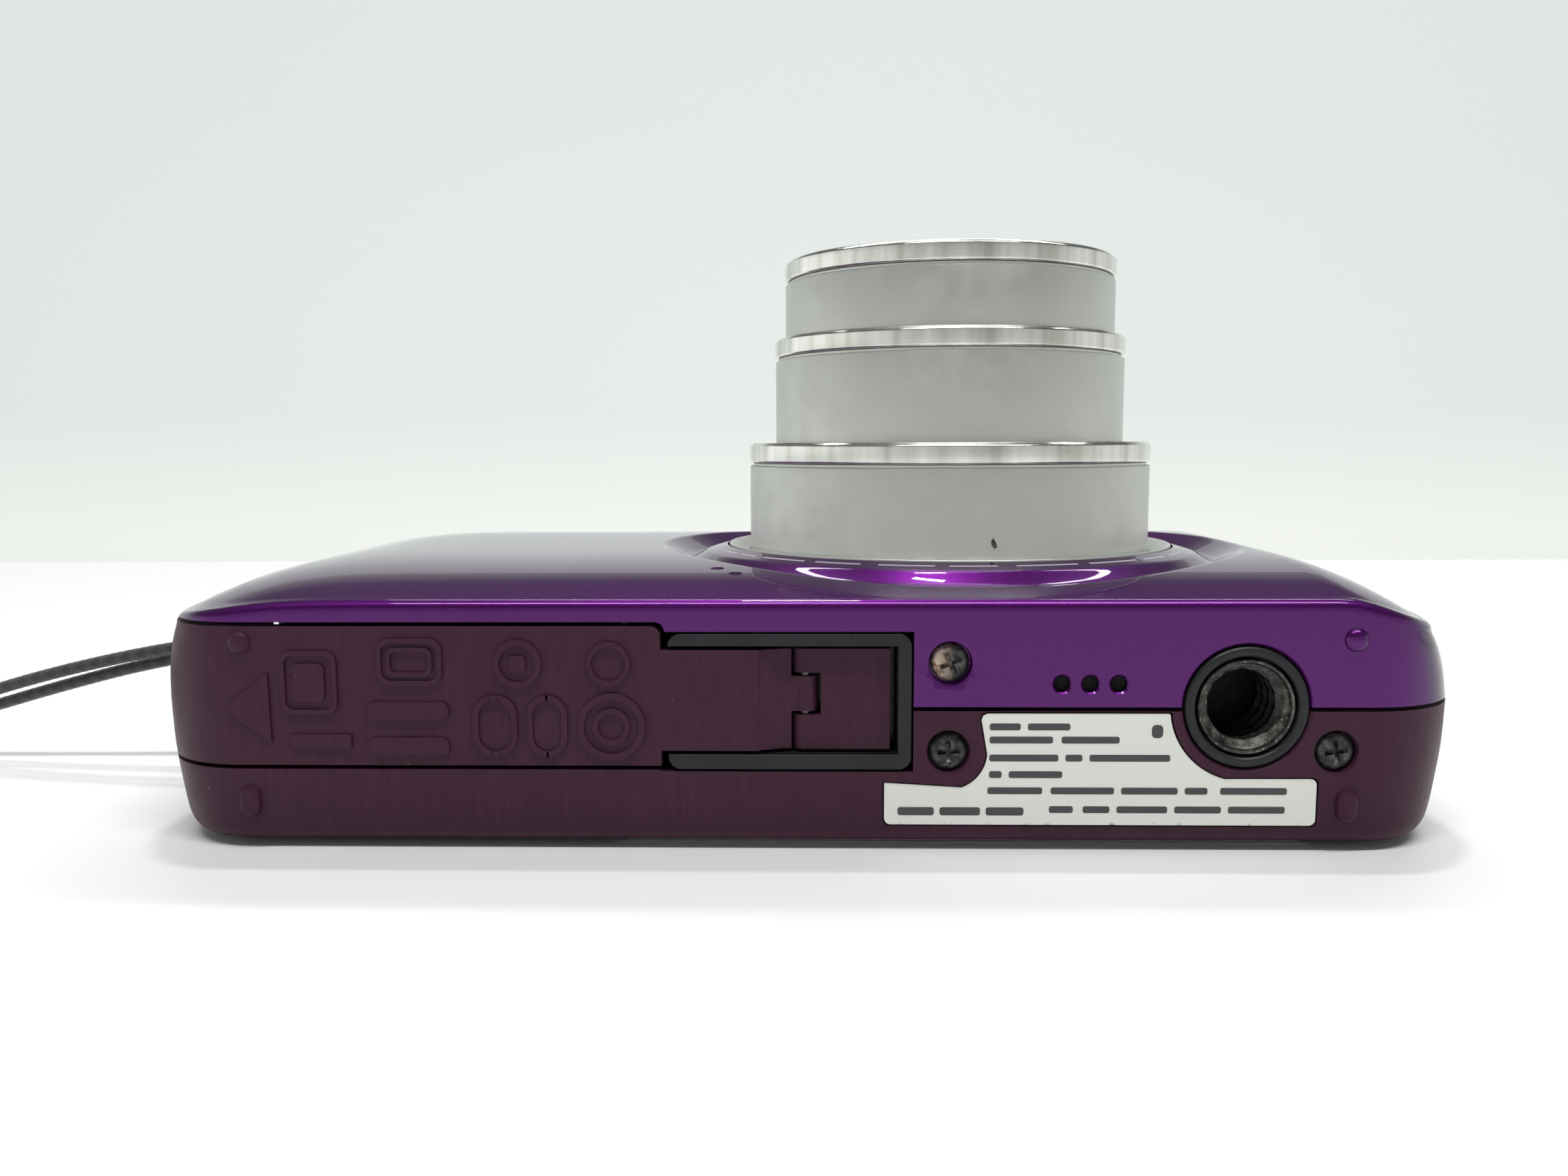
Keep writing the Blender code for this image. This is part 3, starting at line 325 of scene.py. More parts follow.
def turned_look():
    """Polished rings: fine grooves run round the lens axis; darker stripes by angle round it are painted
    reflection.
    """
    made = Look("turned_aluminium", (0.80, 0.80, 0.765), 0.17, 1.0, Anisotropic=0.6,
                Anisotropic_Rotation=0.25)
    around = made.math(
        "ARCTAN2",
        made.axis("Y"),
        made.math("SUBTRACT", made.axis("X"), LENS[0] * MM),
    )
    # Painted reflection: darker stripes by angle round the lens axis stand for the reflected light and dark
    # of the room
    painted_reflection_bands = made.node("ShaderNodeTexNoise", Scale=1.0, Detail=3.0, Roughness=0.65)
    painted_reflection_bands.noise_dimensions = "1D"
    made.link(made.math("MULTIPLY", around, 3.2), painted_reflection_bands.inputs["W"])
    made.mix(made.ramp(painted_reflection_bands.outputs["Fac"], 0.42, 0.62, 0.0, 0.75), (0.46, 0.455, 0.41))
    groove = made.noise(0.9, 3.0, 0.6, made.stretched((0.04, 0.04, 9.0)))
    made.bump(groove, 0.004, 0.5)
    made.rough(groove, 0.13, 0.24)
    return made.material


def steel_look():
    made = Look("plain_steel", (0.36, 0.36, 0.35), 0.34, 1.0)
    made.patches(1.2, 4.0, 0.4, 0.75, 0.6, (0.2, 0.19, 0.18))
    made.rough(made.noise(0.8, 3.0), 0.26, 0.46)
    made.bump(made.noise(0.3, 3.0), 0.012, 0.4)
    return made.material


def screw_look(name, rust):
    """Blackened screw heads; one has lost its coat on one side and rusts there."""
    made = Look(name, (0.03, 0.03, 0.032), 0.28, 0.6)
    made.patches(0.5, 4.0, 0.45, 0.7, 0.7, (0.16, 0.16, 0.155))
    if rust:
        x = SCREWS["bottom_screw_front"][0]
        side = made.ramp(made.axis("X"), (x + 0.3) * MM, (x - 0.9) * MM)
        worn = made.math("MULTIPLY", side, made.ramp(made.noise(0.6, 4.0), 0.3, 0.5))
        made.mix(worn, (0.52, 0.42, 0.34))
        brown = made.math("MULTIPLY", side, made.ramp(made.noise(0.35, 4.0), 0.5, 0.6))
        made.mix(brown, (0.20, 0.075, 0.028))
    made.rough(made.noise(0.4, 3.0), 0.3, 0.6)
    made.bump(made.noise(0.25, 4.0), 0.03, 0.6)
    return made.material


def bush_look():
    """Bare bush: grimy in the thread, scraped bright in arcs on its mouth, painted shade deeper in the bore.
    """
    made = Look("worn_bush", (0.085, 0.083, 0.078), 0.42, 0.85)
    scrape = made.noise(0.5, 4.0, 0.7)
    made.mix(made.ramp(scrape, 0.5, 0.72, 0.0, 0.8), (0.30, 0.30, 0.28))
    made.patches(0.9, 3.0, 0.52, 0.66, 0.8, (0.03, 0.026, 0.022))
    made.patches(0.28, 2.0, 0.66, 0.72, 0.8, (0.5, 0.5, 0.47))
    # Painted shade: the bore is coloured darker the deeper it goes
    painted_bore_shade = made.ramp(made.axis("Y"), -27.9 * MM, -26.3 * MM)
    made.mix(painted_bore_shade, (0.012, 0.011, 0.011))
    made.rough(scrape, 0.3, 0.6)
    made.bump(scrape, 0.03, 0.7)
    return made.material


def label_look():
    made = Look("label_film", (0.80, 0.81, 0.77), 0.34, 0.0, Specular_IOR_Level=0.4)
    made.patches(5.0, 4.0, 0.5, 0.8, 0.2, (0.72, 0.72, 0.67))
    # Darker in patches along the label's bottom edge
    edge = made.ramp(made.axis("Z"), 2.25 * MM, 1.9 * MM)
    bottom_edge_dark = made.math("MULTIPLY", edge, made.ramp(made.noise(0.7, 4.0), 0.6, 0.72))
    made.mix(bottom_edge_dark, (0.10, 0.085, 0.07))
    made.bump(made.noise(0.4, 2.0), 0.004, 0.4)
    return made.material


def print_look():
    return Look("label_print", (0.055, 0.056, 0.06), 0.5).material


def mark_look():
    return Look("pale_print", (0.42, 0.38, 0.46), 0.4).material


def glass_look():
    return Look("coated_glass", (0.035, 0.02, 0.06), 0.03, 0.0, Coat_Weight=1.0, Coat_Roughness=0.01,
                Coat_IOR=1.9, Transmission_Weight=0.25, IOR=1.6).material


def clear_look():
    made = Look("clear_plastic", (0.72, 0.76, 0.74), 0.1, 0.0, Transmission_Weight=0.65, IOR=1.5)
    ribs = made.noise(1.0, 1.0, 0.5, made.stretched((2.4, 0.02, 0.02)))
    made.bump(ribs, 0.05, 0.5)
    return made.material


def screen_look():
    """Cover glass: black border, and a slightly lighter display area behind it."""
    made = Look("screen_glass", (0.004, 0.004, 0.005), 0.06, 0.0, Coat_Weight=0.6, Coat_Roughness=0.02)
    inside = None
    for name, low, high in (("X", -14.5, 38.0), ("Y", -21.5, 20.0)):
        for edge, sign in ((low, 1), (high, -1)):
            step = made.ramp(made.axis(name), (edge - 0.1 * sign) * MM, (edge + 0.1 * sign) * MM)
            inside = step if inside is None else made.math("MULTIPLY", inside, step)
    made.mix(inside, (0.022, 0.026, 0.031))
    # The near edge is coloured pale: partly a pale rim, partly a painted reflection of the table
    rim = made.ramp(made.axis("Y"), -26.03 * MM, -26.1 * MM)
    made.mix(rim, (0.85, 0.87, 0.80))
    made.patches(0.9, 3.0, 0.74, 0.78, 0.2, (0.2, 0.2, 0.2))
    made.rough(made.noise(8.0, 4.0), 0.04, 0.12)
    return made.material


def cord_look():
    """Braided cord: the strands cross in a diamond pattern along the tube's own coordinates."""
    made = Look("braided_cord", (0.018, 0.018, 0.02), 0.62, 0.0, Sheen_Weight=0.3, Sheen_Roughness=0.5)
    place = made.node("ShaderNodeUVMap").outputs["UV"]
    split = made.node("ShaderNodeSeparateXYZ", Vector=place)
    along, around = split.outputs["X"], split.outputs["Y"]
    waves = []
    for sign in (1, -1):
        phase = made.math("ADD", along, made.math("MULTIPLY", around, 2.0 * sign))
        waves.append(made.math("SINE", made.math("MULTIPLY", phase, 2 * math.pi)))
    weave = made.math("MAXIMUM", waves[0], waves[1])
    made.mix(made.ramp(weave, 0.2, 1.0, 0.0, 0.5), (0.05, 0.05, 0.055))
    made.bump(weave, 0.05, 0.6)
    made.patches(0.4, 3.0, 0.6, 0.75, 0.4, (0.09, 0.09, 0.09))
    return made.material


def plain_look(name, colour, roughness, metallic=0.0, size=0.3, depth=0.01):
    made = Look(name, colour, roughness, metallic)
    made.patches(size * 12, 3.0, 0.35, 0.75, 0.35, tuple(c * 0.7 for c in colour))
    made.rough(made.noise(size * 6, 2.0), roughness * 0.85, min(1.0, roughness * 1.2))
    made.bump(made.noise(size, 2.0), depth, 0.5)
    return made.material


def board_look():
    made = Look("circuit_board", (0.01, 0.075, 0.028), 0.4)
    cells = made.node("ShaderNodeTexVoronoi", Vector=made.place, Scale=1.0 / (1.4 * MM))
    cells.distance = "MANHATTAN"
    lines = made.ramp(cells.outputs["Distance"], 0.42, 0.5)
    made.mix(lines, (0.03, 0.15, 0.06))
    made.bump(lines, 0.02, 0.5)
    return made.material


MAKERS = {
    "gloss_purple": purple_look,
    "matte_plum": plum_look,
    "black_plastic": black_look,
    "satin_aluminium": satin_look,
    "polished_ring": turned_look,
    "plain_steel": steel_look,
    "lens_glass": glass_look,
    "screen_glass": screen_look,
    "clear_window": clear_look,
    "circuit_board": board_look,
    "display": lambda: plain_look("display_panel", (0.012, 0.015, 0.018), 0.25),
    "label_white": label_look,
    "battery_grey": lambda: plain_look("battery_wrap", (0.075, 0.077, 0.08), 0.42),
    "contact_brass": lambda: plain_look("contact_brass", (0.55, 0.39, 0.13), 0.25, 1.0),
    "latch_orange": lambda: plain_look("latch_orange", (0.50, 0.12, 0.02), 0.42),
    "rubber_grey": lambda: plain_look("silicone_rubber", (0.03, 0.03, 0.032), 0.7),
    "strap_cord": cord_look,
    "label_print": print_look,
    "pale_print": mark_look,
    "bush": bush_look,
    "screw": lambda: screw_look("screw_black", False),
    "rusty_screw": lambda: screw_look("screw_rusty", True),
    "hole_black": lambda: plain_look("hole_black", (0.004, 0.004, 0.005), 0.95),
    "tray_black": lambda: black_look("tray_black", (0.2, 0.32), (0.014, 0.015, 0.017)),
}


# ---------------------------------------------------------------- shapes

def loft(rings, cap_start=True, cap_end=True):
    """Join rings of equal length with quads; a one-point ring is a tip."""
    shape = bmesh.new()
    loops = [[shape.verts.new(point) for point in ring] for ring in rings]
    count = max(len(ring) for ring in rings)
    for low, high in zip(loops, loops[1:]):
        for i in range(count):
            j = (i + 1) % count
            corners = [low[i % len(low)], low[j % len(low)], high[j % len(high)], high[i % len(high)]]
            shape.faces.new(list(dict.fromkeys(corners)))
    if cap_start and len(loops[0]) > 1:
        shape.faces.new(list(reversed(loops[0])))
    if cap_end and len(loops[-1]) > 1:
        shape.faces.new(loops[-1])
    return shape


PLACES = {
    "Z": lambda a, b, level: (a, b, level),
    "Y": lambda a, b, level: (a, level, b),
    "X": lambda a, b, level: (level, a, b),
}


def prism(outline, low, high, axis="Z"):
    """Extrude a flat outline between two levels along an axis."""
    return loft([[PLACES[axis](a, b, level) for a, b in outline] for level in (low, high)])


def box(x0, x1, y0, y1, z0, z1):
    return prism([(x0, y0), (x1, y0), (x1, y1), (x0, y1)], z0, z1)


def curve_through(rows, steps):
    """More rows of numbers along a Catmull-Rom curve through the given ones."""
    padded = [rows[0], *rows, rows[-1]]
    result = []
    for a, b, c, d in zip(padded, padded[1:], padded[2:], padded[3:]):
        for i in range(steps):
            t = i / steps
            result.append(tuple(
                0.5 * (2 * q + (r - p) * t + (2 * p - 5 * q + 4 * r - s) * t * t
                       + (3 * q - p - 3 * r + s) * t ** 3)
                for p, q, r, s in zip(a, b, c, d)
            ))
    return result + [rows[-1]]


def arc(x, y, radius, angles):
    """Points of a circle round (x, y) at the given angles in degrees."""
    turns = [math.radians(angle) for angle in angles]
    return [(x + radius * math.cos(turn), y + radius * math.sin(turn)) for turn in turns]


def circle(x, y, radius, count=64):
    turn = 2 * math.pi / count
    return [(x + radius * math.cos(i * turn), y + radius * math.sin(i * turn)) for i in range(count)]


def rounded(x0, x1, y0, y1, radius, steps=6):
    """A rectangle with round corners, anticlockwise."""
    points = []
    for x, y, start in ((x1 - radius, y0 + radius, -90), (x1 - radius, y1 - radius, 0),
                        (x0 + radius, y1 - radius, 90), (x0 + radius, y0 + radius, 180)):
        points += arc(x, y, radius, [start + 90 * i / steps for i in range(steps + 1)])
    return points


def turned(profile, centre, axis="Z", count=128):
    """Turn a closed (radius, level) profile about an axis through the centre."""
    a, b = centre
    rings = []
    for radius, level in profile + profile[:1]:
        points = [(a, b)] if radius == 0 else circle(a, b, radius, count)
        rings.append([PLACES[axis](p, q, level) for p, q in points])
    closed = profile[0][0] > 0
    if not closed:
        rings.pop()
    shape = loft(rings, False, False)
    if closed:
        bmesh.ops.remove_doubles(shape, verts=shape.verts, dist=0.0001)
    return shape


def rod(radius, low, high, centre, axis="Z", count=48):
    return turned([(0, low), (radius, low), (radius, high), (0, high)], centre, axis, count)


def softened(profile, radius, steps=3):
    """Round every corner of a closed (radius, level) profile that is off the axis."""
    points = []
    count = len(profile)
    for i, here in enumerate(profile):
        if here[0] == 0:
            points.append(here)
            continue
        corner = Vector(here)
        before = Vector(profile[i - 1]) - corner
        after = Vector(profile[(i + 1) % count]) - corner
        reach = min(radius, before.length * 0.45, after.length * 0.45)
        start = corner + before.normalized() * reach
        end = corner + after.normalized() * reach
        for k in range(steps + 1):
            t = k / steps
            place = start * (1 - t) ** 2 + corner * 2 * t * (1 - t) + end * t * t
            points.append(tuple(place))
    return points


def merged(*shapes):
    """Several closed shapes in one bmesh."""
    whole = bmesh.new()
    for shape in shapes:
        mesh = bpy.data.meshes.new("part")
        shape.to_mesh(mesh)
        shape.free()
        whole.from_mesh(mesh)
        bpy.data.meshes.remove(mesh)
    return whole


def to_mesh(shape, name):
    bmesh.ops.recalc_face_normals(shape, faces=shape.faces)
    shape.transform(Matrix.Scale(MM, 4))
    mesh = bpy.data.meshes.new(name)
    shape.to_mesh(mesh)
    shape.free()
    return mesh


def smooth(item, degrees=32):
    item.data.shade_smooth()
    item.data.set_sharp_from_angle(angle=math.radians(degrees))
    return item


def make(name, shape, finish, body=ROOT, replaces=(), bevel=0.0):
    """A piece in place: its mesh, its material, the body that it rides on and what it stands for."""
    item = bpy.data.objects.new(name, to_mesh(shape, name))
    bpy.context.collection.objects.link(item)
    item.data.materials.append(look(finish))
    smooth(item)
    if bevel:
        soften(item, bevel)
    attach(item, body)
    if replaces:
        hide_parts(*replaces)
    return item


def soften(item, width, segments=3):
    """Round the sharp edges by a width in millimetres."""
    modifier = item.modifiers.new("soft_edges", "BEVEL")
    modifier.width = width * MM
    modifier.segments = segments
    modifier.limit_method = "ANGLE"
    modifier.angle_limit = math.radians(38)
    modifier.use_clamp_overlap = True
    modifier.harden_normals = True
    return item


def combine(item, shape, operation):
    """Apply a boolean with one bmesh, which may hold several separate bodies."""
    tool = bpy.data.objects.new("tool", to_mesh(shape, "tool"))
    bpy.context.collection.objects.link(tool)
    modifier = item.modifiers.new("shape", "BOOLEAN")
    modifier.operation = operation
    modifier.solver = "EXACT"
    modifier.object = tool
    bpy.context.view_layer.update()
    graph = bpy.context.evaluated_depsgraph_get()
    result = bpy.data.meshes.new_from_object(item.evaluated_get(graph))
    item.modifiers.clear()
    clean = bmesh.new()
    clean.from_mesh(result)
    bmesh.ops.remove_doubles(clean, verts=clean.verts, dist=0.0005 * MM)
    clean.to_mesh(result)
    clean.free()
    item.data = result
    bpy.data.objects.remove(tool, do_unlink=True)
    return item


def cut(item, *shapes):
    for shape in shapes:
        combine(item, shape, "DIFFERENCE")
    return item


def join(item, *shapes):
    for shape in shapes:
        combine(item, shape, "UNION")
    return item


# ---------------------------------------------------------------- cords

def even_steps(dense, count):
    """A given number of points at even distances along a dense route."""
    lengths = [0.0]
    for first, second in zip(dense, dense[1:]):
        lengths.append(lengths[-1] + (second - first).length)
    route, k = [], 0
    for i in range(count):
        wanted = lengths[-1] * i / (count - 1)
        while k < len(lengths) - 2 and lengths[k + 1] < wanted:
            k += 1
        span = max(lengths[k + 1] - lengths[k], 1e-9)
        route.append(dense[k].lerp(dense[k + 1], min(1.0, (wanted - lengths[k]) / span)))
    return route


def braided_tube(name, route, radius, pitch, sides):
    """A tube along the route whose surface rises and falls where the braid's strands cross."""
    shape = bmesh.new()
    grid = shape.loops.layers.uv.new("UVMap")
    rows, travelled = [], 0.0
    side = Vector((0, 0, 1))
    for i, here in enumerate(route):
        ahead = (route[min(i + 1, len(route) - 1)] - route[max(i - 1, 0)]).normalized()
        side = (side - ahead * side.dot(ahead)).normalized()
        across = ahead.cross(side)
        if i:
            travelled += (here - route[i - 1]).length
        row = []
        for k in range(sides):
            angle = 2 * math.pi * k / sides
            phase = 2 * math.pi * travelled / pitch
            rise = 0.045 * math.sin(phase + 2 * angle) * math.sin(phase - 2 * angle)
            reach = radius * (0.97 + rise)
            row.append(shape.verts.new(here + (side * math.cos(angle) + across * math.sin(angle)) * reach))
        rows.append((row, travelled / pitch))
    for (low, start), (high, end) in zip(rows, rows[1:]):
        for k in range(sides):
            j = (k + 1) % sides
            face = shape.faces.new((low[k], low[j], high[j], high[k]))
            for loop, place in zip(face.loops, ((start, k), (start, k + 1), (end, k + 1), (end, k))):
                loop[grid].uv = (place[0], place[1] / sides)
    shape.faces.new(list(reversed(rows[0][0])))
    shape.faces.new(rows[-1][0])
    item = make(name, shape, "strap_cord")
    return smooth(item, 60)


def strap_joint():
    """The moulded sleeve between the thin loop and the wrist cord, with grip grooves round it."""
    x0, y, z = JOINT_START
    length = x0 - JOINT_END[0]
    rings = []
    steps = 42
    for i in range(steps + 1):
        t = i / steps
        swell = math.sin(math.pi * min(1.0, max(0.0, t) * 1.1 + 0.12) * 0.62)
        groove = 0.13 if 0.3 < t < 0.78 and int(t * steps) % 4 == 0 else 0.0
        round_off = 1.0 - 0.32 * max(0.0, 1 - t / 0.05) ** 2 - 0.12 * max(0.0, (t - 0.93) / 0.07) ** 2
        half_width = (1.45 + 1.6 * swell - groove) * round_off
        half_height = (1.0 + 0.95 * swell - groove) * round_off
        turn = [2 * math.pi * k / 40 for k in range(40)]
        rings.append([(x0 - length * t, y + half_width * math.cos(a), z + half_height * math.sin(a))
                      for a in turn])
    return make("strap_joint_moulded", loft(rings), "rubber_grey", replaces=("strap_joint",))


def wrist_route():
    """The doubled cord: in along the coil's inner strand, a bight in the middle, and back out."""
    centre = Vector((*COIL_CENTRE, CORD_RADIUS + 0.03))
    step = 2 * CORD_RADIUS + CORD_GAP
    inner = COIL_CENTRE[1] - JOINT_END[1] - step / 2
    outer = inner + step

    def on_coil(radius, turns):
        angle = -math.pi / 2 - 2 * math.pi * turns
        reach = radius - 2 * step * turns
        return centre + Vector((reach * math.cos(angle), reach * math.sin(angle), 0))

    def lead(offset):
        y = JOINT_END[1] + offset
        start = JOINT_END[0]
        return [Vector((start + ahead, y, height)) for ahead, height in (
            (1.2, 2.1), (0.0, 1.95), (-2.0, 1.68), (-4.5, 1.45), (-7.5, 1.35), (-11.0, 1.33))]

    count = 72
    path = lead(step / 2)
    path += [on_coil(inner, i / count) for i in range(count + 1)]
    bend = (inner - 2 * step) / 2
    for i in range(1, 24):
        angle = -math.pi / 2 - math.pi * i / 24
        path.append(centre + Vector((bend * math.cos(angle), bend * math.sin(angle) - bend, 0)))
    for i in range(24):
        angle = -math.pi / 2 + math.pi * i / 24
        path.append(centre + Vector((bend * math.cos(angle), bend * math.sin(angle) + bend, 0)))
    half_more = count + count // 2
    path += [on_coil(outer, i / count) for i in range(half_more, -1, -1)]
    path += list(reversed(lead(-step / 2)))
    return path


def strap():
    joint = strap_joint()
    for name, node, points in (("strap_loop_a", "strap_strand_a", STRAND_A),
                               ("strap_loop_b", "strap_strand_b", STRAND_B)):
        route = even_steps([Vector(point) for point in curve_through(points, 12)], STRAND_STEPS)
        item = braided_tube(name, route, STRAND_RADIUS, STRAND_PITCH, 16)
        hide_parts(node)
    route = even_steps(wrist_route(), CORD_STEPS)
    item = braided_tube("wrist_cord", route, CORD_RADIUS, CORD_PITCH, 20)
    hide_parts("wrist_cord_coil")


# ---------------------------------------------------------------- body surface

# Side profile: (z, inset at the ends, inset at the long sides)
LOWER = ((0.0, 3.2, 1.7), (0.18, 2.3, 0.95), (0.65, 1.6, 0.4), (1.6, 1.1, 0.1), (3.4, 0.7, 0.0),
         (6.4, 0.2, 0.0), (10.0, 0.0, 0.0))
# Above the part line: (share of the way to the rim, left, right, long sides)
UPPER = ((0.0, 0.0, 0.0, 0.0), (0.4, 0.1, 0.3, 0.0), (0.75, 0.45, 0.85, 0.0), (1.0, 0.95, 1.6, 0.02))
PROFILE_STEPS = 4
RIM_ROUND = 0.8
# The hollow band round the plateau: depth, where it is deepest, and how its inner slope curves
BAND_DEPTH = 0.95
BAND_LOW = 0.4
BAND_CURVE = 1.3
LIP_ROUND = 0.2
# The face's rings: shares of the way from the rim to the join, then radii round the lens
FACE_SHARES = (0.04, 0.1, 0.18, 0.27, 0.36, 0.45, 0.54, 0.63, 0.72, 0.81, 0.9, 1.0)
FACE_RADII = (26.4, 26.25, 26.1, 26.0, 25.9, 25.75, 25.5, 25.1, 24.6, 24.0, 23.8, 23.65, 23.5, 23.3, 23.0,
              22.7, 22.45, 22.25, 22.1, 22.0, 21.9, 21.75, 21.5, 20.8, 20.1)
JOIN_RADIUS = 26.6


def fall(distance, reach, depth, power):
    return depth * max(0.0, min(1.0, distance / reach)) ** power


def crown(x, y):
    """Height of the front face before the lens dish is formed into it."""
    drop, reach, power = CROWN
    height = FACE_Z - fall(abs(y), reach, drop, power)
    start, depth, power = LEFT_FALL
    height -= fall(start - x, HALF_LENGTH + start, depth, power)
    start, depth, power = RIGHT_FALL
    return height - fall(x - start, HALF_LENGTH - start, depth, power)


def raw_height(reach, cx, cy):
    """Front face at a distance from the lens axis in the direction (cx, cy)."""
    x, y = LENS[0] + reach * cx, reach * cy
    if reach >= DISH_RADIUS:
        return crown(x, y)
    slope = (MOUTH_Z - PLATEAU_Z) / (PLATEAU_RADIUS - MOUTH_RADIUS)
    plateau = min(MOUTH_Z, MOUTH_Z - (reach - MOUTH_RADIUS) * slope)
    if reach <= PLATEAU_RADIUS:
        return plateau
    share = (DISH_RADIUS - reach) / (DISH_RADIUS - PLATEAU_RADIUS)
    height = crown(x, y) + (PLATEAU_Z - crown(x, y)) * share
    if 1 - share < BAND_LOW:
        return height - BAND_DEPTH * (1 - (1 - (1 - share) / BAND_LOW) ** BAND_CURVE)
    return height - BAND_DEPTH * share / (1 - BAND_LOW)


def face_height(x, y):
    """Front face with a hollow band round the plateau; both lips are slightly round."""
    reach = max(math.hypot(x - LENS[0], y), 0.001)
    cx, cy = (x - LENS[0]) / reach, y / reach
    if not PLATEAU_RADIUS - 1 < reach < DISH_RADIUS + 0.6:
        return raw_height(reach, cx, cy)
    samples = [raw_height(reach + step * LIP_ROUND, cx, cy) for step in (-1, -0.5, 0, 0.5, 1)]
    return sum(samples) / len(samples)


def perimeter(arc_steps, long_steps, short_steps):
    """Points of the plan outline, each with its outward direction, anticlockwise."""
    x = HALF_LENGTH - PLAN_RADIUS
    y = HALF_HEIGHT - PLAN_RADIUS
    corners = ((x, -y, -90), (x, y, 0), (-x, y, 90), (-x, -y, 180))
    points = []
    for number, (cx, cy, start) in enumerate(corners):
        corner = []
        for i in range(arc_steps + 1):
            angle = math.radians(start + 90 * i / arc_steps)
            nx, ny = math.cos(angle), math.sin(angle)
            corner.append((cx + PLAN_RADIUS * nx, cy + PLAN_RADIUS * ny, nx, ny))
        points += corner
        steps = short_steps if number % 2 == 0 else long_steps
        following = corners[(number + 1) % 4]
        last = corner[-1]
        end = (following[0] + PLAN_RADIUS * last[2], following[1] + PLAN_RADIUS * last[3])
        for i in range(1, steps):
            share = i / steps
            here = [last[k] + (end[k] - last[k]) * share for k in (0, 1)]
            points.append((here[0], here[1], last[2], last[3]))
    return points


def envelope(shrink=0.0, fine=True):
    """The camera's outer solid, or a coarser one drawn in by a wall's thickness."""
    outline = perimeter(16, 60, 24) if fine else perimeter(5, 8, 4)
    lower = curve_through(LOWER, PROFILE_STEPS) if fine else [LOWER[1], LOWER[3], LOWER[6]]
    upper = curve_through(UPPER, PROFILE_STEPS)[1:] if fine else UPPER[2:]
    angles = [90 * i / 9 for i in range(1, 10)] if fine else (45, 90)
    turns = [math.radians(angle) for angle in angles]
    shares = FACE_SHARES if fine else (0.5, 1.0)
    radii = FACE_RADII if fine else (24.0, 22.0)

    def inset(point, left, right, side):
        _, _, nx, ny = point
        return nx * nx * (right if nx > 0 else left) + ny * ny * side + shrink

    def moved(point, amount):
        return point[0] - point[2] * amount, point[1] - point[3] * amount

    base = BACK_Z + shrink
    rings = []
    for rise, end, side in lower:
        level = base + rise * (PART_Z - base) / (PART_Z - BACK_Z)
        rings.append([(*moved(p, inset(p, end, end, side)), level) for p in outline])
    tops = [inset(p, *UPPER[-1][1:]) for p in outline]
    rims = [face_height(*moved(p, amount + RIM_ROUND)) - shrink for p, amount in zip(outline, tops)]
    for share, left, right, side in upper:
        rings.append([
            (*moved(p, inset(p, left, right, side)), PART_Z + share * (height - RIM_ROUND - PART_Z))
            for p, height in zip(outline, rims)
        ])
    for turn in turns:
        extra, depth = RIM_ROUND * (1 - math.cos(turn)), RIM_ROUND * (1 - math.sin(turn))
        rings.append([(*moved(p, amount + extra), height - depth)
                      for p, amount, height in zip(outline, tops, rims)])
    edge = rings[-1]
    rays = []
    for x, y, _ in edge:
        reach = math.hypot(x - LENS[0], y)
        rays.append(((x - LENS[0]) / reach, y / reach))
    for share in shares:
        ring = []
        for (x, y, _), (cx, cy) in zip(edge, rays):
            px = x + (LENS[0] + JOIN_RADIUS * cx - x) * share
            py = y + (JOIN_RADIUS * cy - y) * share
            ring.append((px, py, face_height(px, py) - shrink))
        rings.append(ring)
    for radius in radii:
        rings.append([(LENS[0] + radius * cx, radius * cy,
                       face_height(LENS[0] + radius * cx, radius * cy) - shrink) for cx, cy in rays])
    rings.append([(*LENS, MOUTH_Z - shrink)])
    solid = loft(rings)
    bmesh.ops.triangulate(solid, faces=solid.faces)
    return solid


# ---------------------------------------------------------------- covers and door

def chamfered_hole(radius, top, bottom, centre, axis, lip, count=40):
    """A round hole's cutter, slightly wider where it leaves the surface."""
    outside = top - 2 if bottom > top else top + 2
    inward = 1 if bottom > top else -1
    profile = [(0, outside), (radius + lip, outside), (radius + lip, top), (radius, top + inward * lip),
               (radius, bottom), (0, bottom)]
    return turned(profile, centre, axis, count)


def counterbore(name):
    x, z, _ = SCREWS[name]
    side, floor = -HALF_HEIGHT, -HALF_HEIGHT + COUNTERBORE_DEPTH
    wide = COUNTERBORE + 0.22
    profile = [(0, -31), (wide, -31), (wide, side), (COUNTERBORE + 0.07, side + 0.06),
               (COUNTERBORE, side + 0.22), (COUNTERBORE, floor), (0.85, floor), (0.85, -22), (0, -22)]
    return turned(profile, (x, z), "Y", 48)


def boss(name):
    x, z, _ = SCREWS[name]
    return rod(2.3, -27.5, -24.6, (x, z), "Y", 32)


def tripod_hole():
    return chamfered_hole(COLLAR_RADIUS + 0.12, -HALF_HEIGHT, -26, TRIPOD, "Y", 0.15, 96)


def pip(place):
    profile = [(0, -28.2), (0.86, -28.2), (0.86, -28.52), (0.8, -28.66), (0.62, -28.84), (0.4, -28.93),
               (0.2, -28.97), (0, -28.98)]
    return turned(profile, place, "Y", 32)


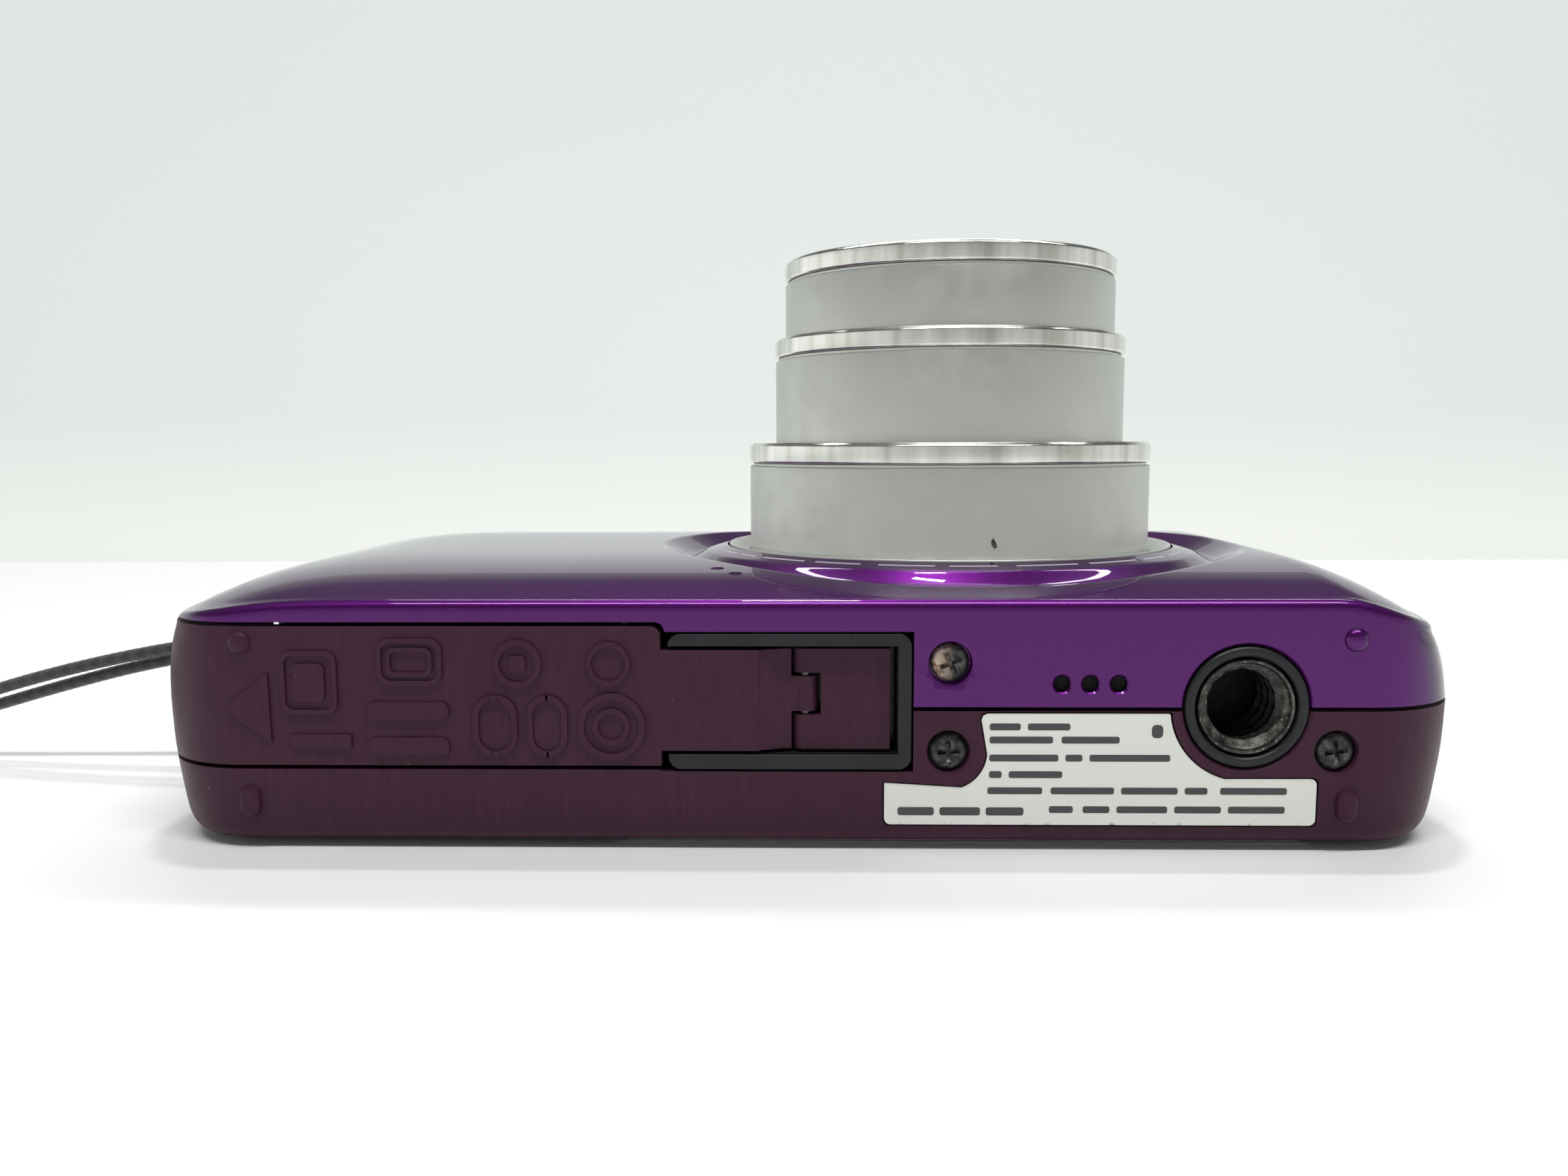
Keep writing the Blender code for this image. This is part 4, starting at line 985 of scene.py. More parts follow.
def door_zone(grow=0.0):
    """Where the door lies: the left end of the bottom, with a narrow tail between the rails."""
    low, high, left = DOOR_LOW - grow, DOOR_HIGH + grow, DOOR_LEFT + grow
    outline = [(-FAR_X, low), (left, low), (left, TAIL_LOW), (TAIL_END, TAIL_LOW), (TAIL_END, TAIL_HIGH),
               (left, TAIL_HIGH), (left, high - 0.55), (left - 0.18, high - 0.2), (left - 0.55, high),
               (-FAR_X, high)]
    return prism(outline, -FAR_Y, DOOR_WRAP_Y + grow, "Y")


def rail_zone():
    x1, low, high = RAILS[1] + 0.15, RAILS[2] - 0.15, RAILS[3] + 0.15
    return box(DOOR_LEFT - 0.2, x1, -FAR_Y, -24.0, low, high)


def top_plate_zone(grow=0.0):
    x0, x1, z0, z1 = TOP_PLATE
    return prism(rounded(x0 - grow, x1 + grow, z0 - grow, z1 + grow, 6.4 + grow, 16), 26.5, 35, "Y")


def flash_outline(grow=0.0):
    return rounded(-4.0 - grow, 7.0 + grow, 21.9 - grow, 26.2 + grow, 1.0, 8)


def label_outline(grow=0.0, corner=0.0):
    """The label: a long band with a block above it, hollowed round a screw and the bush."""
    x0, x1, x2, x3 = 6.02 - grow, 12.9 - grow, 26.3 + grow, 36.7 + grow
    z0, z1, z2 = 1.95 - grow, 5.05 + grow, 10.1 + grow
    screw_x, screw_z, _ = SCREWS["bottom_screw_rear"]
    reach = 2.75 - grow
    around = COLLAR_RADIUS + 1.0 - grow
    points = rounded(x0, x3, z0, 5.4 + grow, corner or 0.05, 5)
    band_top = points[6:12]
    points = points[18:24] + points[:6] + band_top
    points += arc(*TRIPOD, around, range(255, 184, -3))
    points += [(x2, z2 - corner * 0.3), (x2 - corner * 0.3, z2), (x1 + corner, z2)]
    points += [(x1 + corner * 0.3, z2 - corner * 0.3), (x1, z2 - corner)]
    points += arc(screw_x, screw_z, reach, range(-4, -71, -3))
    return points + [(x0, z1)]


def front_cover(skin):
    item = make("front_cover_skin", skin.copy(), "gloss_purple", replaces=("front_cover",))
    step = [(-FAR_X, -5), (FAR_X, -5), (FAR_X, PART_Z + SEAM / 2), (STEP_X, PART_Z + SEAM / 2),
            (STEP_X, DOOR_HIGH + SEAM / 2), (-FAR_X, DOOR_HIGH + SEAM / 2)]
    cut(item, envelope(WALL, fine=False), prism(step, -FAR_Y, FAR_Y, "Y"), door_zone(SEAM / 2), rail_zone())
    join(item, boss("bottom_screw_front"))
    holes = [chamfered_hole(0.6, -HALF_HEIGHT, -26, (x, SPEAKER_Z), "Y", 0.12) for x in SPEAKER_HOLES]
    holes += [chamfered_hole(0.5, crown(x, y), 16, (x, y), "Z", 0.05, 24) for x, y in MIC_HOLES]
    cut(item, merged(
        counterbore("bottom_screw_front"), tripod_hole(), *holes,
        rod(MOUTH_RADIUS + 0.02, 15, 25, LENS, "Z", 160),
        prism(flash_outline(0.12), 15, 22),
        rod(1.42, 15, 22, LAMP, "Z", 40),
        top_plate_zone(0.12),
    ))
    join(item, pip((39.0, 15.35)))
    smooth(item, 30)
    # Black stops inside the holes, painted shade so that the holes read as dark
    shade_stops = [rod(0.58, -27.9, -27.6, (x, SPEAKER_Z), "Y", 32) for x in SPEAKER_HOLES]
    shade_stops += [rod(0.49, crown(x, y) - 0.5, crown(x, y) - 0.05, (x, y), "Z", 24) for x, y in MIC_HOLES]
    make("hole_painted_shade", merged(*shade_stops), "hole_black")


def rear_cover(skin):
    item = make("rear_cover_skin", skin.copy(), "matte_plum", replaces=("rear_cover",))
    step = [(STEP_X - SEAM, PART_Z - SEAM / 2), (FAR_X, PART_Z - SEAM / 2), (FAR_X, 30), (-FAR_X, 30),
            (-FAR_X, DOOR_HIGH - SEAM / 2), (STEP_X - SEAM, DOOR_HIGH - SEAM / 2)]
    cut(item, envelope(WALL, fine=False), prism(step, -FAR_Y, FAR_Y, "Y"), door_zone(SEAM / 2), rail_zone())
    join(item, merged(boss("bottom_screw_rear"), boss("bottom_screw_end")))
    window = rounded(*[w + s * 0.18 for w, s in zip(WINDOW, (-1, 1, -1, 1))], WINDOW_RADIUS + 0.18, 16)
    x, y, z = EYELET
    cut(item, merged(
        prism(window, -3, 4),
        counterbore("bottom_screw_rear"), counterbore("bottom_screw_end"), tripod_hole(),
        prism(label_outline(0.1, 0.5), -31, -HALF_HEIGHT + LABEL_POCKET, "Y"),
        *[rod(radius + 0.2, -2, 4, (a, b), "Z", 48) for a, b, radius in BACK_BUTTONS.values()],
        rod(PAD_RADIUS + 0.3, -2, 4, PAD_CENTRE, "Z", 96),
        top_plate_zone(0.12),
        box(-52, -45, y - 3.2, y + 3.2, z - 2.4, z + 2.4),
        box(44, 52, *PORT_Y, *PORT_Z),
    ))
    feet = []
    for x, low, high in ((38.8, 2.6, 4.3), (-39.8, 2.7, 4.4)):
        rings = []
        for level, inset in ((-28.2, 0.0), (-28.6, 0.02), (-28.82, 0.12), (-28.92, 0.27), (-28.95, 0.45)):
            half, grow = 0.8 - inset, 0.35 - inset
            outline = rounded(x - half, x + half, low - grow, high + grow, half - 0.01, 8)
            rings.append([(a, level, b) for a, b in outline])
        feet.append(loft(rings))
    join(item, merged(*feet))
    smooth(item, 30)


def battery_door(skin):
    item = make("battery_door_skin", skin.copy(), "matte_plum", "door", ("battery_door",))
    cut(item, envelope(DOOR_WALL - LATCH_ROOM, fine=False))
    combine(item, door_zone(-SEAM / 2), "INTERSECT")
    tail = [(-3.4, -28.46), (-3.1, -28.46), (-2.8, -28.38), (-1.45, -27.84), (-1.1, -27.75), (0.0, -27.75),
            (0.0, -26.4), (-2.6, -27.14), (-3.4, -27.14)]
    join(item, prism(tail, TAIL_LOW + 0.02, TAIL_HIGH - 0.02), rod(KNUCKLE_RADIUS, 9.8, 12.95, HINGE))
    cut(item, merged(box(-0.6, 3, -30, -25, 5, 10.1), box(-0.6, 3, -30, -25, 12.65, 18)))
    cut(item, rod(0.45, 5, 18, HINGE))
    join(item, pip((-40.1, 15.2)))
    smooth(item, 30)
    door_embossing()


def door_embossing():
    """Plain raised shapes where the door carries moulded marks."""
    low, high = -28.46, -28.72

    def plate(outline):
        return prism(outline, low, high, "Y")

    def frame_of(x0, x1, z0, z1, radius, width):
        outer = rounded(x0, x1, z0, z1, radius)
        inner = rounded(x0 + width, x1 - width, z0 + width, z1 - width, radius - width * 0.7)
        shape = bmesh.new()
        loops = [[shape.verts.new((a, level, b)) for a, b in ring]
                 for ring, level in ((outer, low), (outer, high), (inner, high), (inner, low))]
        for first, second in zip(loops, loops[1:] + loops[:1]):
            for i in range(len(first)):
                j = (i + 1) % len(first)
                shape.faces.new((first[i], first[j], second[j], second[i]))
        return shape

    def ring(x, z, outer, inner):
        return turned([(inner, low), (outer, low), (outer, high), (inner, high)], (x, z), "Y", 64)

    shapes = [
        plate([(-41.4, 10.4), (-38.0, 8.0), (-38.1, 13.0)]),
        frame_of(-37.2, -33.1, 10.0, 14.6, 0.8, 0.35),
        plate(rounded(-36.3, -34.0, 10.9, 13.7, 0.5)),
        plate(rounded(-36.6, -32.2, 7.5, 8.55, 0.2)),
        frame_of(-30.2, -25.5, 12.1, 15.5, 0.9, 0.35),
        frame_of(-29.5, -26.2, 12.75, 14.85, 0.6, 0.3),
        plate(rounded(-31.0, -25.1, 9.6, 10.9, 0.6)),
        plate(rounded(-31.0, -25.1, 7.0, 8.3, 0.6)),
        ring(-20.1, 13.65, 1.75, 1.3),
        plate(rounded(-20.7, -19.5, 13.05, 14.25, 0.3)),
        frame_of(-23.4, -20.2, 6.9, 11.4, 1.5, 0.42),
        frame_of(-19.5, -16.6, 6.9, 11.4, 1.4, 0.42),
        ring(-13.6, 13.65, 1.6, 1.2),
        ring(-13.45, 9.1, 2.45, 1.95),
        ring(-13.45, 9.1, 1.35, 0.95),
    ]
    make("door_embossing", merged(*shapes), "matte_plum", "door", bevel=0.07)


def door_slider():
    item = make("door_slider_leaf", box(1.5, 6.45, -27.9, -26.6, TAIL_LOW, TAIL_HIGH), "matte_plum",
                "door_carriage", ("door_slider",))
    join(
        item,
        box(1.5, 6.45, -26.7, -25.75, 6.75, 15.05),
        prism([(HINGE[0], -27.9), (2.0, -27.9), (2.0, -26.3), (HINGE[0], -26.3)], TAIL_LOW, TAIL_HIGH),
        rod(KNUCKLE_RADIUS, TAIL_LOW, TAIL_HIGH, HINGE),
    )
    cut(item, box(-2, 1.5, -30, -25, 9.85, 12.9))
    cut(item, rod(0.45, 5, 18, HINGE))
    soften(smooth(item), 0.12)


def door_rail_frame():
    """A black tray whose two undercut rails carry the door's hinge leaf."""
    item = make("door_rail_tray", prism(rounded(*RAILS, 0.9, 10), -28.6, -24.4, "Y"), "tray_black",
                replaces=("door_rail_frame",))
    cut(item, box(-12, 6.97, -30, -25.3, 7.1, 14.9), box(-12, 6.97, -26.95, -25.3, 6.5, 15.3))
    soften(smooth(item), 0.16)


# ---------------------------------------------------------------- bottom fittings

def cross(x, z, arm, half, angle):
    """A plus-shaped outline turned by an angle in degrees."""
    corners = [(arm, -half), (arm, half), (half, half), (half, arm), (-half, arm), (-half, half),
               (-arm, half), (-arm, -half), (-half, -half), (-half, -arm), (half, -arm), (half, -half)]
    turn = Matrix.Rotation(math.radians(angle), 2)
    return [tuple(Vector((x, z)) + turn @ Vector(corner)) for corner in corners]


def screws():
    for name, (x, z, angle) in SCREWS.items():
        profile = [(0, -28.47), (0.5, -28.45), (0.9, -28.38), (1.18, -28.25), (1.33, -28.05), (1.38, -27.9),
                   (1.36, -27.85), (0.62, -27.85), (0.62, -22.6), (0, -22.6)]
        finish = "rusty_screw" if name == "bottom_screw_front" else "screw"
        item = make(name + "_head", turned(profile, (x, z), "Y", 72), finish, replaces=(name,))
        rings = []
        for level, arm, half in ((-28.7, 0.86, 0.2), (-28.3, 0.8, 0.17), (-27.95, 0.45, 0.13)):
            rings.append([(a, level, b) for a, b in cross(x, z, arm, half, angle)])
        cut(item, loft(rings))
        soften(smooth(item), 0.03)


def tripod_socket():
    profile = softened([(3.62, -28.6), (COLLAR_RADIUS, -28.6), (COLLAR_RADIUS, -27.0), (3.62, -27.0)], 0.28)
    make("tripod_collar_ring", turned(profile, TRIPOD, "Y", 128), "black_plastic",
         replaces=("tripod_collar",))
    pitch, minor, major, count = 1.27, 2.52, 3.12, 96

    def row(level, radius=None):
        points = []
        for i in range(count):
            angle = 2 * math.pi * i / count
            reach = radius
            if reach is None:
                phase = (level / pitch + i / count) % 1.0
                ridge = min(1.0, max(0.0, 2.2 * abs(2 * phase - 1) - 0.6))
                fade = min(1.0, max(0.0, (level + 28.05) / 0.5))
                reach = major + (minor - major) * ridge * fade
            points.append((TRIPOD[0] + reach * math.cos(angle), level, TRIPOD[1] + reach * math.sin(angle)))
        return points

    rings = [[(TRIPOD[0], -20.6, TRIPOD[1])], row(-20.6, 4.5), row(-26.6, 4.5), row(-26.6, 3.42),
             row(-28.33, 3.42), row(-28.4, 3.37), row(-28.42, 3.32), row(-28.34, 3.2)]
    level = -28.1
    while level < -22.1:
        rings.append(row(level))
        level += 0.09
    rings.append([(TRIPOD[0], -22.0, TRIPOD[1])])
    make("tripod_thread", loft(rings), "bush", replaces=("tripod_bush",))


# Places of the label's lines of print, as bars: (z of the middle, height, start and end of each bar)
PRINT_LINES = (
    (9.12, 0.5, ((13.5, 15.7), (16.2, 19.2))),
    (8.17, 0.5, ((13.5, 18.0), (18.6, 22.7))),
    (8.8, 0.95, ((24.95, 25.75),)),
    (6.86, 0.5, ((13.5, 18.4), (18.9, 20.1), (20.6, 26.3))),
    (5.65, 0.5, ((13.5, 14.4), (14.9, 18.7))),
    (4.47, 0.5, ((13.4, 17.3), (17.9, 22.4), (22.9, 26.9), (27.4, 29.0), (29.9, 34.6))),
    (2.95, 0.6, ((7.0, 9.6), (10.0, 12.9), (13.3, 16.0))),
    (3.1, 0.5, ((17.8, 19.5), (20.2, 22.1), (22.6, 26.2), (26.7, 30.0), (30.5, 34.5))),
)


def rating_label():
    low = -HALF_HEIGHT + 0.06
    item = make("label_film", prism(label_outline(-0.02, 0.45), low, low + 0.14, "Y"), "label_white",
                replaces=("rating_label",))
    soften(item, 0.02)
    bars = []
    for z, height, spans in PRINT_LINES:
        for start, end in spans:
            outline = rounded(start, end, z - height / 2, z + height / 2, height * 0.3, 3)
            bars.append(prism(outline, low - 0.012, low + 0.05, "Y"))
    make("label_bars", merged(*bars), "label_print")


# ---------------------------------------------------------------- lens

def lens_trim_ring():
    profile = [(19.95, 18.95), (19.95, 20.2), (19.7, 20.2), (18.4, 19.35), (18.4, 18.95)]
    make("mouth_trim_ring", turned(softened(profile, 0.12), LENS, count=160), "satin_aluminium",
         replaces=("lens_trim_ring",))


def lens_barrels():
    for number, radius in enumerate(BARREL_RADII):
        stage = number + 1
        body = f"lens_stage_{stage}"
        bore = radius - BARREL_WALLS[number]
        bottom, low, top = BARREL_BOTTOMS[number], RING_BOTTOMS[number], RING_TOPS[number]
        profile = [(radius, bottom), (radius, low - 0.14), (radius - 0.03, low - 0.06),
                   (radius - 0.1, low - 0.02), (radius - 0.3, low - 0.02), (radius - 0.3, low + 0.2),
                   (bore, low + 0.2), (bore, bottom)]
        make(f"barrel_tube_{stage}", turned(profile, LENS, count=160), "satin_aluminium", body,
             (f"lens_barrel_{stage}",))
        edge = radius + 0.04
        if number < 2:
            lip = BARREL_RADII[number + 1] + RUNNING_GAP
            inner = [(radius - 0.3, top), (lip, top), (lip, low + 1.0), (bore, low + 0.25)]
        else:
            inner = [(radius - 0.3, top), (12.9, top), (12.9, low + 0.25)]
        outer = [(radius - 0.12, low + 0.25), (edge, low + 0.38), (edge, top - 0.26)]
        make(f"polished_ring_{stage}", turned(softened(outer + inner, 0.09), LENS, count=160),
             "polished_ring", body, (f"barrel_ring_{stage}",))
    chip = [(14.9, 21.5), (14.95, 21.2), (15.15, 20.95), (15.35, 21.0), (15.3, 21.3), (15.05, 21.75)]
    make("barrel_chip", prism(chip, -17.95, -17.75, "Y"), "rusty_screw", "lens_stage_1")


def lens_front():
    body = "lens_stage_3"
    profile = [(12.7, 45.1), (12.7, 43.95), (APERTURE, 43.95), (APERTURE + 0.2, 44.25), (11.2, 45.0),
               (12.2, 45.0)]
    make("bezel_ring", turned(softened(profile, 0.14), LENS, count=128), "black_plastic", body,
         ("front_bezel",))
    profile = [(0, 42.4), (1.8, 42.33), (3.5, 42.1), (4.9, 41.85), (6.2, 41.5), (7.2, 41.08), (8.0, 40.6),
               (8.0, 38.4), (0, 38.4)]
    make("front_element", turned(profile, LENS, count=96), "lens_glass", body, ("front_lens",))
    profile = [(8.3, 41.0), (13.6, 41.0), (13.6, 38.0), (5.5, 38.0), (5.5, 38.2), (8.3, 38.2)]
    make("element_carrier", turned(softened(profile, 0.06), LENS, count=96), "black_plastic", body,
         ("front_lens_carrier",))


def plateau_marks():
    """Short even dashes in the arc where the plateau carries print."""
    dashes = []
    for start, end in ((196, 207), (209, 216), (219, 232), (235, 246), (250, 262), (265, 275), (279, 293),
                       (296, 310), (313, 322), (325, 336)):
        rings = []
        for i in range(11):
            angle = math.radians(start + (end - start) * i / 10)
            ring = []
            for reach, lift in ((20.85, -0.05), (21.1, -0.05), (21.1, 0.008), (20.85, 0.008)):
                x, y = LENS[0] + reach * math.cos(angle), reach * math.sin(angle)
                ring.append((x, y, face_height(x, y) + lift))
            rings.append(ring)
        dashes.append(loft(rings))
    make("plateau_dashes", merged(*dashes), "pale_print")


# ---------------------------------------------------------------- back, end and top

def screen():
    rings = []
    for level, inset in ((0.0, 0.35), (0.02, 0.2), (0.1, 0.05), (0.22, 0.0), (1.05, 0.0)):
        edges = [w + s * inset for w, s in zip(WINDOW, (1, -1, 1, -1))]
        rings.append([(*p, level) for p in rounded(*edges, WINDOW_RADIUS - inset, 16)])
    make("screen_cover_glass", loft(rings), "screen_glass", replaces=("lcd_window",))


def dome(centre, radius, top, flange, bottom, dish=0.0):
    """A button turned about Z whose cap faces -Z, with a flange inside the cover."""
    cap = [(0, top + dish), (radius * 0.35, top + dish * 0.75), (radius * 0.7, top + 0.01),
           (radius - 0.45, top + 0.02), (radius - 0.2, top + 0.09), (radius - 0.05, top + 0.22),
           (radius, top + 0.4), (radius, flange), (radius + 0.6, flange), (radius + 0.6, bottom), (0, bottom)]
    return turned(cap, centre, "Z", 96)


def bars_icon(x, y, level):
    return merged(*[prism(rounded(x - 0.9, x + 0.9, y + d - 0.13, y + d + 0.13, 0.1, 3), level, 0.4)
                    for d in (-0.6, 0.0, 0.6)])


def back_controls():
    for name, (x, y, radius) in BACK_BUTTONS.items():
        body = name.replace("_button", "_key")
        make(name + "_cap", dome((x, y), radius, 0.15, 2.0, 2.6, 0.06), "black_plastic", body, (name,))
    level = 0.19
    movie = BACK_BUTTONS["movie_button"][:2]
    icons = {
        "movie": turned([(0.75, level), (1.0, level), (1.0, 0.4), (0.75, 0.4)], movie),
        "play": prism([(-41.6, 10.2), (-40.2, 11.0), (-41.6, 11.8)], level, 0.4),
        "menu": bars_icon(*BACK_BUTTONS["menu_button"][:2], level),
        "help": merged(rod(0.3, level, 0.4, (-33.0, -18.1)), rod(0.3, level, 0.4, (-33.0, -18.9))),
    }
    for name, shape in icons.items():
        make(name + "_icon", shape, "pale_print", name + "_key")
    inner = OK_RADIUS + 0.35
    profile = [(inner + 0.05, 0.5), (inner + 0.3, 0.2), (inner + 0.6, 0.16), (6.2, 0.3), (8.0, 0.17),
               (8.45, 0.2), (8.8, 0.32), (PAD_RADIUS, 0.55), (PAD_RADIUS, 2.25), (9.9, 2.25), (9.9, 2.5),
               (inner, 2.5)]
    make("pad_ring", turned(profile, PAD_CENTRE, "Z", 128), "black_plastic", "pad", ("four_way_pad",))
    ticks = []
    for degrees in (0, 90, 180, 270):
        turn = Matrix.Rotation(math.radians(degrees), 2)
        points = [Vector(PAD_CENTRE) + turn @ Vector(p) for p in ((7.9, 0.0), (7.1, 0.55), (7.1, -0.55))]
        ticks.append(prism([tuple(p) for p in points], 0.17, 0.5))
    make("pad_ticks", merged(*ticks), "pale_print", "pad")
    make("ok_cap", turned([(0, 0.22), (1.6, 0.2), (3.1, 0.15), (3.5, 0.17), (3.78, 0.3), (OK_RADIUS, 0.55),
                           (OK_RADIUS, 2.5), (0, 2.5)], PAD_CENTRE, "Z", 96),
         "satin_aluminium", "ok_key", ("ok_button",))


def top_controls():
    x, z = SHUTTER
    item = make("top_plate", top_plate_zone(), "tray_black", replaces=("top_control_plate",))
    cut(item, box(-60, 0, 28.6, 40, 0, 22), box(-60, 0, 20, 27.3, 0, 22),
        merged(rod(3.1, 20, 40, SHUTTER, "Y", 64), rod(2.65, 20, 40, POWER, "Y", 64)))
    join(item, turned([(3.15, 28.4), (3.5, 28.4), (3.5, 29.0), (3.15, 29.0)], SHUTTER, "Y", 64))
    soften(smooth(item), 0.12)
    profile = softened([(4.25, 28.9), (6.2, 28.9), (6.2, 30.3), (4.25, 30.3)], 0.3)
    lever = make("zoom_lever_ring", turned(profile, SHUTTER, "Y", 96), "satin_aluminium", "zoom_ring",
                 ("zoom_lever",))
    tab = [(x - 1.8, z + 5.0), (x + 1.8, z + 5.0), (x + 1.1, z + 7.6), (x - 1.1, z + 7.6)]
    ridges = [box(x - 1.0, x + 1.0, 30.8, 31.05, z + d, z + d + 0.28) for d in (5.7, 6.3, 6.9)]
    join(lever, prism(tab, 28.95, 30.9, "Y"), merged(*ridges))
    soften(smooth(lever), 0.1)
    cap = [(0, 31.2), (1.5, 31.22), (2.6, 31.29), (3.2, 31.2), (3.65, 30.98), (3.9, 30.72), (4.0, 30.4),
           (4.0, 29.9), (2.7, 29.9), (2.7, 26.6), (3.6, 26.6), (3.6, 26.1), (0, 26.1)]
    make("shutter_cap", turned(cap, SHUTTER, "Y", 96), "polished_ring", "shutter", ("shutter_button",))
    cap = [(0, 28.93), (1.2, 28.9), (1.95, 28.86), (2.25, 28.72), (2.4, 28.5), (2.4, 27.0), (3.1, 27.0),
           (3.1, 26.4), (0, 26.4)]
    make("power_cap", turned(cap, POWER, "Y", 96), "satin_aluminium", "power_key", ("power_button",))
    cap = [(0, 28.99), (0.3, 28.97), (0.42, 28.9), (0.42, 28.7), (0, 28.7)]
    make("power_light", turned(cap, POWER, "Y", 32), "clear_window", "power_key")


def flash_and_lamp(skin):
    item = make("flash_cover", skin.copy(), "clear_window", replaces=("flash_window",))
    combine(item, prism(flash_outline(), 17.0, 22), "INTERSECT")
    cut(item, box(-10, 12, 20, 28, 10, 17.6))
    smooth(item, 30)
    profile = [(0, 20.02), (0.6, 20.0), (1.0, 19.9), (1.22, 19.74), (1.3, 19.55), (1.3, 17.0), (0, 17.0)]
    make("timer_lamp_lens", turned(profile, LAMP, count=48), "clear_window", replaces=("self_timer_lamp",))


# Kept CAD nodes: (slot, bevel in millimetres)
KEPT = {
    "lens_base": ("black_plastic", 0.1), "image_sensor": ("circuit_board", 0.05),
    "main_chassis": ("plain_steel", 0.05), "main_board": ("circuit_board", 0.04),
    "lcd_panel": ("display", 0.05), "battery_bay": ("black_plastic", 0.12),
    "battery": ("battery_grey", 0.1), "battery_contacts": ("contact_brass", 0.04),
    "card_slot": ("plain_steel", 0.05), "battery_latch": ("latch_orange", 0.12),
    "flash_reflector": ("polished_ring", 0.04), "flash_capacitor": ("black_plastic", 0.2),
    "microphone": ("plain_steel", 0.1), "speaker": ("tray_black", 0.08), "zoom_motor": ("plain_steel", 0.08),
    "multi_connector": ("plain_steel", 0.05), "door_hinge_pin": ("plain_steel", 0.03),
    "rear_lens_group": ("lens_glass", 0.0), "pad_seat": ("rubber_grey", 0.05),
    "strap_eyelet": ("plain_steel", 0.08), "barrier_blade_a": ("black_plastic", 0.03),
    "barrier_blade_b": ("black_plastic", 0.03),
}


def kept_nodes():
    for name, (finish, bevel) in KEPT.items():
        item = NODES[name]
        for place in item.material_slots:
            place.material = look(finish)
        smooth(item, 35)
        if bevel:
            soften(item, bevel, 2)


# ---------------------------------------------------------------- stage and light

def floor_look():
    made = Look("white_table", (0.93, 0.935, 0.935), 0.5, 0.0, Specular_IOR_Level=0.25)
    made.patches(0.5, 2.0, 0.79, 0.82, 0.22, (0.35, 0.35, 0.35))
    made.bump(made.noise(1.5, 4.0), 0.05, 0.3)
    return made.material


def wall_look():
    made = Look("pale_wall", (0.5, 0.52, 0.51), 0.7, 0.0, Specular_IOR_Level=0.1,
                Emission_Color=(0.955, 1.0, 0.99, 1.0), Emission_Strength=0.47)
    # Painted light: the lower part of the wall is coloured lighter, for a brighter band towards the horizon
    made.mix(made.ramp(made.axis("Z"), 60 * MM, -60 * MM), (0.66, 0.66, 0.61))
    return made.material


def stage_sheet(name, profile, half_width, finish):
    """A wide sheet that follows a (y, z) profile; it isn't part of the object."""
    shape = bmesh.new()
    rows = [[shape.verts.new((x * half_width, y, z - 0.02)) for x in (-1, -0.3, 0, 0.3, 1)]
            for y, z in profile]
    for low, high in zip(rows, rows[1:]):
        for i in range(4):
            shape.faces.new((low[i], low[i + 1], high[i + 1], high[i]))
    mesh = bpy.data.meshes.new(name)
    shape.transform(Matrix.Scale(MM, 4))
    shape.to_mesh(mesh)
    shape.free()
    mesh.materials.append(finish)
    mesh.shade_smooth()
    item = bpy.data.objects.new(name, mesh)
    bpy.context.collection.objects.link(item)


def stage():
    """A white table with a pale wall well behind its far edge."""
    edge = [(196 + 8 * math.sin(a), 8 * math.cos(a) - 8) for a in (math.radians(10 * i) for i in range(10))]
    stage_sheet("table", [(-900, 0), (-300, 0), (0, 0), *edge, (204, -60)], 1100, floor_look())
    stage_sheet("wall", [(1200, -260), (1200, 80), (1200, 485)], 1500, wall_look())


